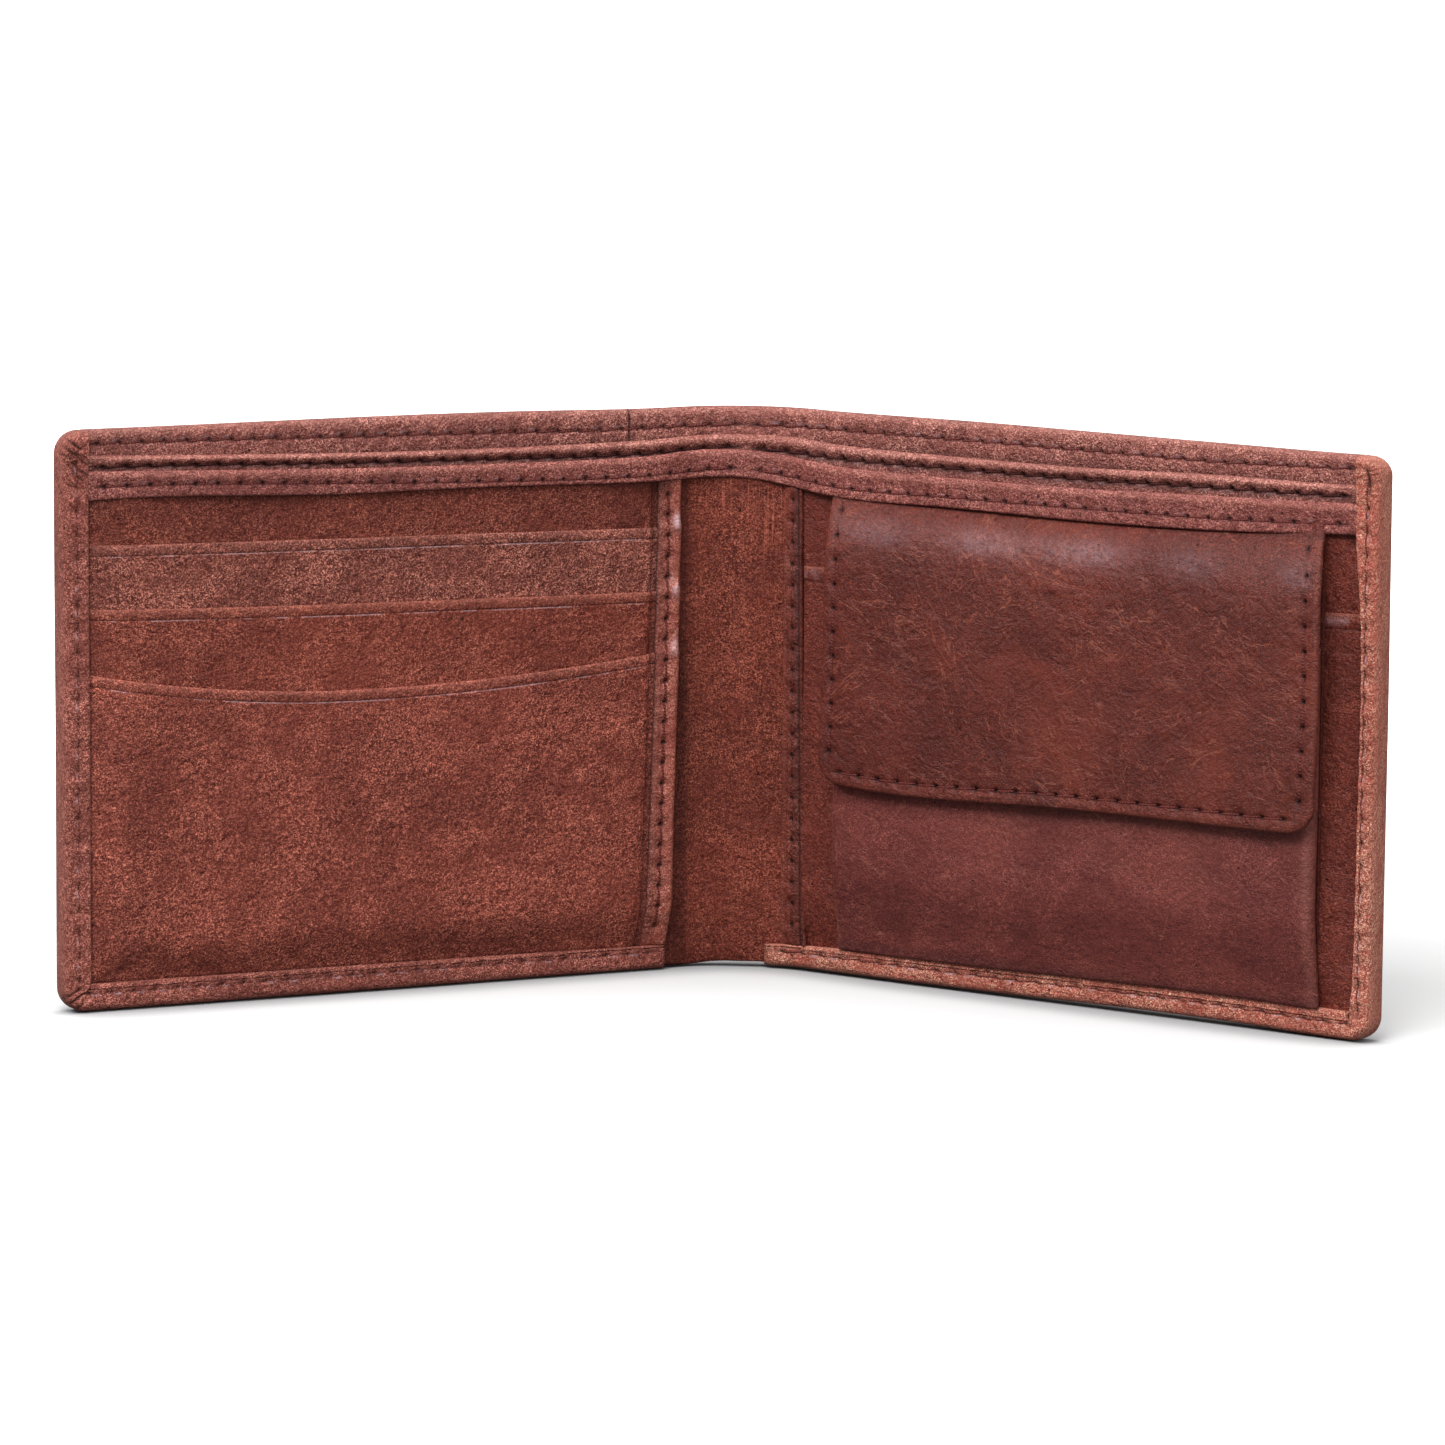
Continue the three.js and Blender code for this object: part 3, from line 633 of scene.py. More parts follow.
def seam_place(along, offset, spots, slant):
    """Distance to the nearest hole, distance from the thread, and 1 within the seam's length.
    With slant each stitch lies aslant, from one side of the line to the other."""
    i = np.clip(np.searchsorted(spots, along), 1, len(spots) - 1)
    near = np.minimum(np.abs(along - spots[i - 1]), np.abs(along - spots[i]))
    part = unit((along - spots[i - 1]) / (spots[i] - spots[i - 1]))
    bow = np.sin(math.pi * np.clip(part, 0.001, 0.999)) ** 0.35
    offset = offset - slant * (2 * part - 1) * bow
    inside = smooth((along - spots[0] + 2.2) / 0.8) * smooth((spots[-1] + 2.2 - along) / 0.8)
    return near, offset, inside


def hole_shape(near, offset, inside, size, slit):
    return np.exp(-((near / size) ** 2 + (offset / (size * slit)) ** 2)) * inside


def seam_dent(along, offset, spots, deep, hole, pucker, slant=0.0, size=0.30, slit=1.05):
    """Height change of a stitched line: its groove, its holes and the swelling between them."""
    near, offset, inside = seam_place(along, offset, spots, slant)
    swell = bell(offset, 1.1) * np.cos(unit(near / (PITCH / 2)) * math.pi) * inside
    return (-deep * (bell(offset, 0.42) * inside)
            - hole * hole_shape(near, offset, inside, size, slit) - 1.5 * pucker * swell)


def seam_dark(along, offset, spots, line=0.42, width=0.2, slant=0.0, dot=1.6, size=0.30,
              slit=1.05):
    """Darkness of a stitched line and of its holes."""
    near, offset, inside = seam_place(along, offset, spots, slant)
    return unit(line * bell(offset, width) * inside
                + dot * hole_shape(near, offset, inside, size, slit))


def seam_glint(along, offset, spots, sign, aside, strength):
    """Light caught beside one end of each stitch."""
    i = np.clip(np.searchsorted(spots, along), 1, len(spots) - 1)
    part = (along - spots[i - 1]) / (spots[i] - spots[i - 1])
    if sign < 0:
        part = 1 - part
    return (strength * bell(part - 0.74, 0.13) * bell(offset - aside, 0.17)
            * ((part > 0) & (part < 1)))


# the three mask channels: wear with painted highlight, painted shade with dark stitch lines, painted
# glints
def paint(shape, worn=0, dark=0, glint=0):
    return np.stack([np.broadcast_to(c, shape) for c in (worn, unit(dark), glint)], -1)


def plain_mask(x, z, col, row, edge):
    # painted shade along the sheet's outline
    return dict(dark=0.5 * bell(edge, 0.5))


def box(x_0, x_1, z_0, z_1):
    """Distance to the outline of a rectangle of grid lines."""
    return lambda x, z, col, row: least(col - x_0, x_1 - col, row - z_0, z_1 - row)


def sheet(name, mat, side, cols, rows, depth, thick, dist, mask=plain_mask, warp=None, rim=None,
          cut=False, relief=None):
    """A closed sheet over the grid lines cols x rows; side sets the winding of its faces.

    warp gives (x, z) from the grid, depth the place of the inside face, dist the distance to
    the outline and mask the paint; these take (x, z, col, row). rim is the radius of the
    rounded edge. With cut the edge at cols[0] is a plain cut at the middle of the spine.
    """
    col, row = np.meshgrid(cols, rows, indexing="ij")
    x, z = warp(col, row) if warp else (side * col, row)
    spot = (x, z, col, row)
    edge = dist(*spot)
    bulge = thick / 2 * quarter(edge / (thick / 2 if rim is None else rim))
    middle = depth(*spot) - thick / 2
    front, back = middle + bulge, middle - bulge
    if relief is not None:
        front = front + relief(*spot) * unit(edge / 0.25)
    wave = body_wave(x, z)
    front, back = front + wave, back + wave

    # number the points; the back shares the front's points along the outline
    size = col.size
    front_id = np.arange(size).reshape(col.shape)
    back_id = front_id + size
    outline = np.zeros(col.shape, bool)
    outline[-1, :] = outline[:, 0] = outline[:, -1] = True
    if not cut:
        outline[0, :] = True
    back_id[outline] = front_id[outline]
    used = np.zeros(2 * size, bool)
    used[front_id.ravel()] = True
    used[back_id.ravel()] = True
    renumber = -np.ones(2 * size, int)
    renumber[used] = np.arange(used.sum())

    def joined(front_part, back_part):
        return np.concatenate([front_part.reshape(-1, 3), back_part.reshape(-1, 3)])[used]
    verts = joined(world(x, front, z), world(x, back, z))
    rp = joined(np.stack([x, z, front], -1), np.stack([x, z, back - 40], -1))
    colours = paint(col.shape, **mask(*spot, edge))
    colours = joined(colours, colours * np.array([1.0, 0.0, 0.0]))

    def quads(index, reverse):
        ring = [index[:-1, :-1], index[1:, :-1], index[1:, 1:], index[:-1, 1:]]
        return np.stack([r.ravel() for r in (ring[::-1] if reverse else ring)], 1)
    pieces = [quads(front_id, side < 0), quads(back_id, side > 0)]
    sharp = None
    if cut:
        near, far = front_id[0], back_id[0]
        wall = np.stack([near[:-1], near[1:], far[1:], far[:-1]], 1)
        pieces.append(wall[:, ::-1] if side < 0 else wall)
        sharp = np.zeros(len(verts), bool)
        sharp[renumber[near]] = True
        sharp[renumber[far]] = True
    faces = []
    for quad in renumber[np.concatenate(pieces)].tolist():
        corners = list(dict.fromkeys(quad))
        if len(corners) >= 3:
            faces.append(corners)
    return make(name, verts, faces, mat, rp, colours, sharp)


def panel(name, mat, side, x_range, z_range, step, depth, thick, extra_x=(), extra_z=(),
          cut=False, **options):
    """A sheet over a plain rectangle."""
    return sheet(name, mat, side, span(*x_range, step, extra_x, first=not cut),
                 span(*z_range, step, extra_z), depth, thick,
                 box(-math.inf if cut else x_range[0], x_range[1], *z_range),
                 cut=cut, **options)


def sweep(name, mat, x, z, depth, mask, lean):
    """A closed bar: arrays [station, section point]. lean slides the texture with depth."""
    x, z, depth = np.broadcast_arrays(x, z, depth)
    depth = depth + body_wave(x, z)
    stations, points = depth.shape
    rp = np.stack([x + depth * lean[0], z + depth * lean[1], depth * 2.0], -1)

    def capped(values):
        """Adds the centres of the two end caps."""
        return np.concatenate([values.reshape(-1, 3), values[[0, -1]].mean(1)])
    index = np.arange(stations * points).reshape(stations, points)
    ahead = np.roll(index, -1, axis=1)
    faces = np.stack([index[:-1].ravel(), ahead[:-1].ravel(), ahead[1:].ravel(),
                      index[1:].ravel()], 1).tolist()
    centre = stations * points
    for j in range(points):
        k = (j + 1) % points
        faces.append([centre, int(index[0, k]), int(index[0, j])])
        faces.append([centre + 1, int(index[-1, j]), int(index[-1, k])])
    sharp = np.zeros(centre + 2, bool)
    sharp[index[0]] = True
    sharp[index[-1]] = True
    ob = make(name, capped(world(x, depth, z)), faces, mat, capped(rp),
              capped(paint(depth.shape, **mask(depth))), sharp)
    tidy(ob)
    return ob


def section_arrays(section, stations):
    """A section of (distance from the edge, depth), repeated for every station."""
    section = np.array(section)
    return np.tile(section[:, 0], (stations, 1)), np.tile(section[:, 1], (stations, 1))


def hole_at(x, z, depth, face=1):
    """Point and normal in the world at a stitch hole; face 1 is the inside, -1 the outside."""
    depth = depth + body_wave(x, z)
    normal = world(x, depth + 0.5, z) - world(x, depth - 0.5, z)
    return world(x, depth, z), normal / np.linalg.norm(normal) * face


def stitches(name, mat, runs, radius, lift, sag, slant):
    """Thread: each run is a list of (point, normal) at holes; a stitch lies between neighbours."""
    verts, faces, rp = [], [], []
    rings, sides = 9, 6
    for run in runs:
        for k in range(len(run) - 1):
            (start, normal_0), (end, normal_1) = run[k], run[k + 1]
            axis = end - start
            length = np.linalg.norm(axis) * 1000
            if length > 6.5 or length < 1.0:
                continue
            axis = axis / np.linalg.norm(axis)
            base = len(verts)
            for i in range(rings):
                t = i / (rings - 1)
                part = 0.055 + 0.89 * t
                normal = normal_0 * (1 - part) + normal_1 * part
                normal = normal / np.linalg.norm(normal)
                aside = np.cross(normal, axis)
                aside /= np.linalg.norm(aside)
                arch = math.sin(math.pi * t)
                rise = (lift + sag) * arch ** 0.45 - sag
                centre = (start * (1 - part) + end * part + normal * rise / 1000
                          + aside * slant * (2 * t - 1) / 1000)
                thick = radius * (0.55 + 0.45 * arch ** 0.5)
                for j in range(sides):
                    turn = 2 * math.pi * j / sides
                    round_ = aside * math.cos(turn) + normal * math.sin(turn) * 0.8
                    verts.append(centre + round_ * thick / 1000)
                    rp.append((t * length, turn + k * 1.7, k))
            for i in range(rings - 1):
                for j in range(sides):
                    a, b = base + i * sides + j, base + i * sides + (j + 1) % sides
                    faces.append([a, b, b + sides, a + sides])
            faces.append([base + j for j in range(sides)][::-1])
            faces.append([base + (rings - 1) * sides + j for j in range(sides)])
    return make(name, np.array(verts), faces, mat, np.array(rp, float), np.zeros((len(verts), 3)))


# ---------------------------------------------------------------- what each piece moves with
# the spine, a half and two points for each sheet over the fold; place only fixes such a sheet where it
# stands
FOLD = {side: ("spine", TAG[side] + "_half", (0, FOLD_Y / 1000, 0),
               (side * 0.0125, FOLD_Y / 1000, 0)) for side in SIDES}
# the left turned edge ends clear of the fold; the right one reaches round it
WING = {LEFT: "left_half", RIGHT: FOLD[RIGHT]}


def place(ob, motion, slot, *parts):
    """motion is the body it rides on; given the arguments of a blend between two bodies, the piece is
    only fixed where it stands.
    """
    if isinstance(motion, str):
        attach(ob, motion)
    else:
        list(motion)
        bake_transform(ob)
    if parts:
        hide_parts(*parts)


def with_spine(side, part):
    """CAD parts of one side; the right one also stands for the part at the spine."""
    return [part + TAG[side]] + ([part + "spine"] if side > 0 else [])


# ---------------------------------------------------------------- cover
def cover_panel(side):
    """Outer panel, up to the stitch groove of the turned edge."""
    groove = GROOVE[side]
    end = OUTER[side] - groove
    radius = CORNER - groove

    def warp(col, row):
        low = np.clip(groove + radius - row, 0, radius)
        high = np.clip(row - (HEIGHT - groove - radius), 0, radius)
        limit = end - corner_cut(np.maximum(low, high), radius)
        return side * col * limit / end, row

    def inside(x, z, col, row):
        return least(end - col, z - groove, HEIGHT - groove - z)

    def depth(x, z, col, row):
        gap = inside(x, z, col, row)
        crease = (0.16 * bell(np.abs(x) - 6.5, 1.6) * (0.6 + 0.4 * ripple(x, z, 9, 5))
                  + 0.05 * ripple(x * 3.0, z * 0.25, 9, 6) * bell(x, 14))
        return (1.0 + 0.25 * bell(np.maximum(gap, 0), 0.5) - 0.21 * smooth(gap / 14) + crease
                + 0.10 * ripple(x, z, 22, 7))
    ob = sheet("cover_panel_" + TAG[side], "outer", side, span(0.0, end, 1.6, first=False),
               span(groove, HEIGHT - groove, 1.6), depth, 1.0,
               lambda *spot: np.where(inside(*spot) < 1e-6, 0, 9.0), warp=warp, cut=True)

    # the back of this sheet is what shows, so it is painted too
    count = len(ob.data.vertices)
    rp = np.empty(count * 3, np.float32)
    ob.data.attributes["rp"].data.foreach_get("vector", rp)
    x, z, layer = rp.reshape(-1, 3).T
    gap = least(end - np.abs(x), z - groove, HEIGHT - groove - z)
    colours = np.zeros((count, 4), np.float32)
    colours[:, 0] = 0.3 * bell(np.abs(x) - 6.5, 2.0) * (layer < -10)
    # painted shade at the stitched groove
    colours[:, 1] = 0.5 * bell(np.maximum(gap, 0), 0.2)
    colours[:, 3] = 1
    ob.data.attributes["mask"].data.foreach_set("color", colours.ravel())
    parts = ["cover_right", "cover_spine"] if side > 0 else ["cover_left"]
    place(ob, FOLD[side], "cover_leather", *parts)


for side in SIDES:
    cover_panel(side)

# ---------------------------------------------------------------- turned edge round each half
BORDER_START = {LEFT: 6.4, RIGHT: -2.9}        # from the fold line
LIP = {LEFT: 4.95, RIGHT: 5.0}                 # depth of its inside face
FOOT_GROOVE = 0.42                             # the foot's groove lies this much higher
# its lower edge over the foot: (x from the fold line, rise)
FOOT_RISE = {
    LEFT: curve((0, 0), (104, 0)),
    RIGHT: curve((0, 0.25), (40, 0.28), (66, 0.5), (84, 0.42), (98, 0.08), (104, 0.0)),
}
# its height at the foot: (x, height)
FOOT_WIDTH = {
    LEFT: curve((0, 3.7), (20, 3.95), (60, 4.25), (116, 4.4)),
    RIGHT: curve((0, 3.4), (8, 3.7), (30, 4.25), (63, 4.5), (90, 4.6), (116, 4.5)),
}
# its width up the right side: (z, width)
right_width = curve((0, 3.7), (4.6, 3.62), (8, 3.25), (14, 3.0), (30, 2.9), (58, 2.8), (66, 3.1),
                    (76, 4.0), (84, 4.25), (90, 4.25))
# gathered folds at the corners, as lines from a to b:
# (from the outer end a, from the top a, the same for b, depth, half width)
HIGH_FOLDS = {
    LEFT: ((0.6, 0.45, 3.3, 2.7, 0.85, 0.2), (0.0, 1.36, 2.5, 3.6, 0.85, 0.2),
           (-0.5, 2.8, 2.0, 3.9, 0.75, 0.19), (1.1, 3.5, 4.5, 7.1, 0.85, 0.21),
           (0.8, 4.6, 3.7, 7.6, 0.6, 0.19), (2.25, 3.2, 4.35, 5.2, 0.75, 0.19)),
    RIGHT: ((-0.5, 3.3, 1.5, 4.6, 0.5, 0.15), (-0.5, 2.2, 1.6, 3.1, 0.5, 0.14),
            (0.0, 1.4, 1.7, 2.4, 0.5, 0.14), (0.5, 0.6, 1.9, 2.0, 0.55, 0.14),
            (2.3, 1.9, 1.85, 6.4, 1.2, 0.22), (1.3, 0.3, 2.4, 1.6, 0.4, 0.14),
            (2.0, 8.0, 2.05, 9.8, 0.8, 0.15)),
}
# the same, measured from the foot
LOW_FOLDS = {
    LEFT: ((0.0, 2.1, 2.85, 3.7, 1.0, 0.17), (0.85, 1.3, 3.7, 3.2, 1.0, 0.17),
           (2.0, 0.55, 4.3, 2.1, 0.85, 0.16), (0.2, 4.6, 2.4, 5.2, 0.5, 0.15)),
    RIGHT: ((4.3, 5.0, 3.0, 3.1, 0.6, 0.16), (3.6, 6.4, 2.6, 4.4, 0.45, 0.15),
            (1.0, 0.8, 2.2, 2.2, 0.3, 0.15)),
}


def border_section(side):
    """Closed loop of (from the edge, depth): outer face, round edge, inner face, back inside."""
    groove, width, lip, back = GROOVE[side], BORDER[side], LIP[side], 3.9
    outside = [(groove + 0.02, 0.32), (groove - 0.22, 0.17), (groove - 0.55, 0.06),
               (groove - 1.0, 0.03), (1.0, 0.08), (0.6, 0.22), (0.3, 0.5), (0.1, 0.95),
               (0.0, 1.6)]
    edge = [(0.0, lip * 0.5), (0.02, lip - 1.3), (0.14, lip - 0.75), (0.4, lip - 0.3),
            (0.8, lip - 0.07), (1.1, lip - 0.01), (1.35, lip)]
    face = [(groove + step, lip)
            for step in (-0.55, -0.3, -0.12, 0, 0.12, 0.3, 0.55, 0.8, 1.1, 1.4)]
    end = [(width - 0.42, lip - 0.02), (width - 0.18, lip - 0.1), (width - 0.04, lip - 0.3),
           (width, lip - 0.55), (width - 0.02, back), (width - 0.4, back - 0.15),
           (groove + 0.5, back - 0.3), (groove + 0.3, 1.35)]
    return outside + edge + face + end


def turned_edge(side):
    outer, border, groove = OUTER[side], BORDER[side], GROOVE[side]
    left = side < 0
    start, straight = HALF_SPINE + BORDER_START[side], outer - CORNER
    foot_holes = holes(start + 1.5, outer - 2.2)
    side_holes = holes(3.0, 87.0)

    # stations along the foot, up the outer edge and round the top corner
    foot_x = span(start, straight, 1.3, hole_lines(foot_holes), last=False)
    side_z = span(CORNER, HEIGHT - CORNER, 1.3, hole_lines(side_holes)
                  + [HEIGHT - CORNER - 0.3 * k for k in range(24)], first=False, last=False)
    low_turn = 90 * np.arange(1, 17) / 17
    high_turn = 90 * np.arange(1, 31) / 31
    top_x = np.linspace(outer - border, straight, 4)[::-1]
    low_at = straight - start
    side_at = low_at + CORNER * math.pi / 2
    high_at = side_at + HEIGHT - 2 * CORNER
    top_at = high_at + CORNER * math.pi / 2
    stretches = (                # (kind, x, z or turn in degrees, distance travelled)
        ("foot", foot_x, foot_x - start),
        ("low", low_turn, low_at + CORNER * np.radians(low_turn)),
        ("side", side_z, side_at + side_z - CORNER),
        ("high", high_turn, high_at + CORNER * np.radians(high_turn)),
        ("top", top_x, top_at + straight - top_x),
    )
    kind = np.concatenate([np.full(len(v), name) for name, v, _ in stretches])[:, None]
    value = np.concatenate([v for _, v, _ in stretches])[:, None]
    travelled = np.concatenate([t for _, _, t in stretches])[:, None]
    foot, low, up_side, high, top = (kind == name for name, _, _ in stretches)
    turn = np.where(low | high, value, 0.0)
    footness = np.where(foot, 1.0, np.where(low, 1 - turn / 90, 0.0))

    # the border's width changes from the foot to the side
    foot_width = FOOT_WIDTH[side](np.where(foot, value, outer))
    side_start = border if left else 3.7
    width = np.where(foot | low, foot_width * footness + side_start * (1 - footness), border)
    if not left:
        width = np.where(up_side, right_width(value), width)
    across, depth = section_arrays(border_section(side), len(kind))
    fixed = groove + 0.2
    across = np.where(across > fixed, fixed + (across - fixed) * ((width - fixed)
                                                                  / (border - fixed)), across)
    shift = FOOT_GROOVE * footness
    near_groove = (depth > 4.0) & (np.abs(across - groove) < 0.9) & (across > 1.3)
    across = np.where(near_groove, across + shift, across)

    # stitched groove
    dent = -0.14 * bell(across - groove, 0.42)
    shade = np.zeros(across.shape)
    spark = np.zeros(across.shape)
    offset = across - groove - shift * (depth > 4.0)
    for chosen, spots, strength in ((foot, foot_holes, 1.0), (up_side, side_holes, 0.75)):
        stitch = dict(slant=0.12, size=0.34, slit=0.6)
        dent = np.where(chosen, seam_dent(value, offset, spots, deep=0.09 if left else 0.12,
                                          hole=0.22, pucker=0.10, **stitch), dent)
        dark = seam_dark(value, offset, spots, line=0.3 if left else 0.5, width=0.16, dot=1.0,
                         **stitch)
        shade = np.where(chosen, strength * dark, shade)
        spark = np.where(chosen, seam_glint(value, groove + shift - across, spots, 1,
                                            aside=0.2, strength=0.9), spark)
    depth = np.where((depth > 4.3) & (across > 0.7), depth + dent, depth)

    # lay the section along the stations
    angle = np.radians(turn - 90 * low)
    radius = CORNER - across
    turned = across <= CORNER
    corner_x = straight + radius * np.where(turned, np.cos(angle), 1)
    corner_z = (np.where(low, CORNER, HEIGHT - CORNER)
                + radius * np.where(turned, np.sin(angle), np.where(low, -1, 1)))
    x = np.select([foot | top, up_side], [value, outer - across], corner_x)
    rise = FOOT_RISE[side](value - HALF_SPINE)
    z = np.select([foot, up_side, top], [across + rise, value, HEIGHT - across], corner_z)

    # pleats where the leather is gathered round a corner
    pleat = (np.where(up_side, 0.25 * bell(value - CORNER - 0.5, 0.35), 0)
             * smooth((4.6 - across) / 1.5))
    for folds, height in ((HIGH_FOLDS[side], HEIGHT - z), (LOW_FOLDS[side], z)):
        for *line, deep, wide in folds:
            part, aside = along_line(outer - x, height, *line)
            aside = aside + 0.25 * np.sin(part * math.pi)
            pleat = np.maximum(pleat, deep * bell(aside, wide) * smooth((part + 0.12) / 0.2)
                               * smooth((1.12 - part) / 0.25))
    depth = np.where(depth > 2.0, depth - 0.34 * pleat, depth)
    puff = np.sin(np.radians(turn * 2))
    depth = np.where((depth > 3.0) & (across < 4), depth + 0.18 * puff * smooth(across), depth)
    # rounded stub at the fold end
    from_stub = np.where(foot, value - start, 99)
    stub = 0.35 + 0.65 * quarter(from_stub / 1.1)
    depth = np.where(depth > 2.6, 2.6 + (depth - 2.6) * stub, depth)
    depth = depth + 0.05 * ripple(travelled, across * 2, 6.5, 21 + side) * (depth > 4)

    def mask(depth):
        inner_edge = bell(width - across, 0.35) * (depth > 4.2)
        outer_groove = bell(across - groove, 0.2) * (depth < 1.0)
        # wear and painted highlight on both edges; stitch lines and holes, painted shade in the pleats
        # and the outer groove, darker at the stub's end; painted glints by the stitches
        return dict(
            worn=0.35 * bell(across, 0.5) + 0.45 * inner_edge,
            dark=(np.where(depth > 4.0, shade * 0.85, 0)
                  + pleat * smooth((across + 0.3) / 0.9) * (depth > 3.0)
                  + 0.5 * outer_groove + 0.5 * bell(from_stub, 0.3)),
            glint=np.where(depth > 4.0, spark, 0))
    ob = sweep("turned_edge_" + TAG[side], "border" if left else "border_r", side * x, z, depth,
               mask, lean=(0.8, 0.6))
    place(ob, WING[side], "cover_leather")

    # its thread, inside and outside
    thread_depth = LIP[side] - 0.17
    inside = [
        [hole_at(side * x, groove + FOOT_GROOVE + FOOT_RISE[side](x - HALF_SPINE), thread_depth)
         for x in foot_holes],
        [hole_at(side * (outer - groove), z, thread_depth) for z in side_holes]]
    ob = stitches("thread_border_" + TAG[side], "thread", inside,
                  radius=0.19, lift=0.05, sag=0.28, slant=0.13)
    place(ob, WING[side], "thread", "thread_border_" + TAG[side])
    outside = [[hole_at(side * x, groove, 0.26, -1) for x in foot_holes],
               [hole_at(side * (outer - groove), z, 0.26, -1) for z in side_holes]]
    ob = stitches("thread_border_outside_" + TAG[side], "thread", outside,
                  radius=0.2, lift=0.12, sag=0.2, slant=0.08)
    place(ob, WING[side], "thread")


for side in SIDES:
    turned_edge(side)

# ---------------------------------------------------------------- top hem
HEM_GROOVE = 2.5       # outside groove, below the top
HEM_STITCH = 2.75      # nominal stitch line on the inside, below the top
HEM_SEAM = HALF_SPINE + 12.45      # joint in the left hem
# (below the top, depth): outer strip, rolled edge, facing on the inside and back
HEM_SECTION = (
    [(HEM_GROOVE + 0.02, 0.32), (HEM_GROOVE - 0.22, 0.17), (HEM_GROOVE - 0.55, 0.06),
     (1.3, 0.02), (0.8, 0.1), (0.45, 0.28), (0.18, 0.58), (0.03, 0.95), (0.03, 1.4),
     (0.18, 1.8), (0.45, 2.08), (0.8, 2.24), (1.3, 2.32)]
    + [(HEM_STITCH + step, depth) for step, depth in (
        (-0.8, 2.34), (-0.5, 2.33), (-0.3, 2.32), (-0.15, 2.3), (0, 2.3), (0.15, 2.3),
        (0.3, 2.32), (0.5, 2.33), (0.8, 2.34))]
    + [(4.4, 2.3), (5.4, 2.25), (6.4, 2.15), (7.0, 2.05), (7.1, 1.8), (7.0, 1.62), (5.0, 1.6),
       (3.2, 1.5), (HEM_GROOVE + 0.5, 1.3)])
HEM_HOLES = {side: holes(0.0, OUTER[side] - 5.0) for side in SIDES}


def hem(name, side, start, end, motion, parts, first=False, last=False):
    """The cover turned over at the top; first and last mark free ends."""
    spots = HEM_HOLES[side]
    along = span(start, end, 1.5, hole_lines(spots), first=first, last=last)[:, None]
    across, depth = section_arrays(HEM_SECTION, len(along))
    inner = depth > 1.9
    stitch = HEIGHT - hem_stitch_z(side * along)
    across = np.where(inner & (across > 1.5) & (across < 4.0), across + stitch - HEM_STITCH,
                      across)
    lie = dict(slant=-0.22 * side, size=0.26)
    dent = seam_dent(along, across - stitch, spots, deep=0.15, hole=0.28, pucker=0.10, **lie)
    dark = seam_dark(along, across - stitch, spots, line=1.0, width=0.19, dot=1.4, **lie)
    glint = seam_glint(along, stitch - across, spots, side, aside=0.34, strength=0.8)
    depth = np.where(inner & (across > 0.9),
                     depth + dent + 0.05 * ripple(along, across * 3, 7, 31), depth)
    gap = np.full(along.shape, 9.0)
    if last:
        gap = np.minimum(gap, end - along)
    if first:
        gap = np.minimum(gap, along - start)
    closing = 0.55 + 0.45 * quarter(gap / 0.35)
    depth = np.where(depth > 1.2, 1.2 + (depth - 1.2) * closing, depth)

    def mask(depth):
        # wear and painted highlight on the rolled top; stitch line, painted shade in the outer groove
        # and on the facing's lower part, dark joint at the free ends; painted glints by the stitches
        return dict(
            worn=0.45 * bell(across - 0.5, 0.6) * (depth > 1.2),
            dark=(np.where(inner, dark, 0) * 0.9
                  + 0.5 * bell(across - HEM_GROOVE, 0.2) * (depth < 1.0)
                  + 0.35 * smooth(across - 4.6) * inner + 0.75 * bell(gap, 0.22)),
            glint=np.where(inner, glint, 0))
    ob = sweep(name, "hem", side * along, HEIGHT - across, depth, mask, lean=(0, 0.7))
    place(ob, motion, "cover_leather", *parts)


hem("hem_left", LEFT, HEM_SEAM, OUTER[LEFT] - BORDER[LEFT], "left_half", ["top_facing_left"],
    first=True)
hem("hem_left_end", LEFT, 0.0, HEM_SEAM, FOLD[LEFT],
    ["top_facing_left_end", "top_facing_spine"], last=True)
hem("hem_right", RIGHT, 0.0, OUTER[RIGHT] - BORDER[RIGHT], FOLD[RIGHT], ["top_facing_right"])
for side in SIDES:
    runs = [[hole_at(side * x, hem_stitch_z(side * x), 2.18) for x in HEM_HOLES[side]],
            [hole_at(side * x, HEIGHT - HEM_GROOVE, 0.26, -1) for x in HEM_HOLES[side]]]
    ob = stitches("thread_hem_" + TAG[side], "thread", runs,
                  radius=0.18, lift=0.04, sag=0.26, slant=0.13)
    place(ob, FOLD[side], "thread", *with_spine(side, "thread_hem_"))

# ---------------------------------------------------------------- the cover's foot across the spine
FOOT_END = {LEFT: 7.4, RIGHT: 1.8}       # beyond the fold line
# (above the edge, depth)
FOOT_SECTION = [(2.62, 0.34), (2.25, 0.16), (1.9, 0.05), (1.2, 0.02), (0.7, 0.12), (0.35, 0.36),
                (0.1, 0.75), (0.0, 1.3), (0.02, 2.3), (0.12, 2.9), (0.4, 3.2), (1.2, 3.3),
                (4.5, 3.2), (4.6, 2.8), (4.5, 2.4), (3.0, 1.4)]


def cover_foot(side):
    along = span(0, HALF_SPINE + FOOT_END[side], 1.0, first=False, last=False)[:, None]
    across, depth = section_arrays(FOOT_SECTION, len(along))
    # painted shade in the outer groove
    ob = sweep("cover_foot_" + TAG[side], "border", side * along,
               across + 0.72 * smooth((10 - along) / 9), depth,
               lambda depth: dict(dark=0.4 * bell(across - 2.5, 0.2) * (depth < 1.0)),
               lean=(0, 1))
    place(ob, FOLD[side], "cover_leather")


for side in SIDES:
    cover_foot(side)

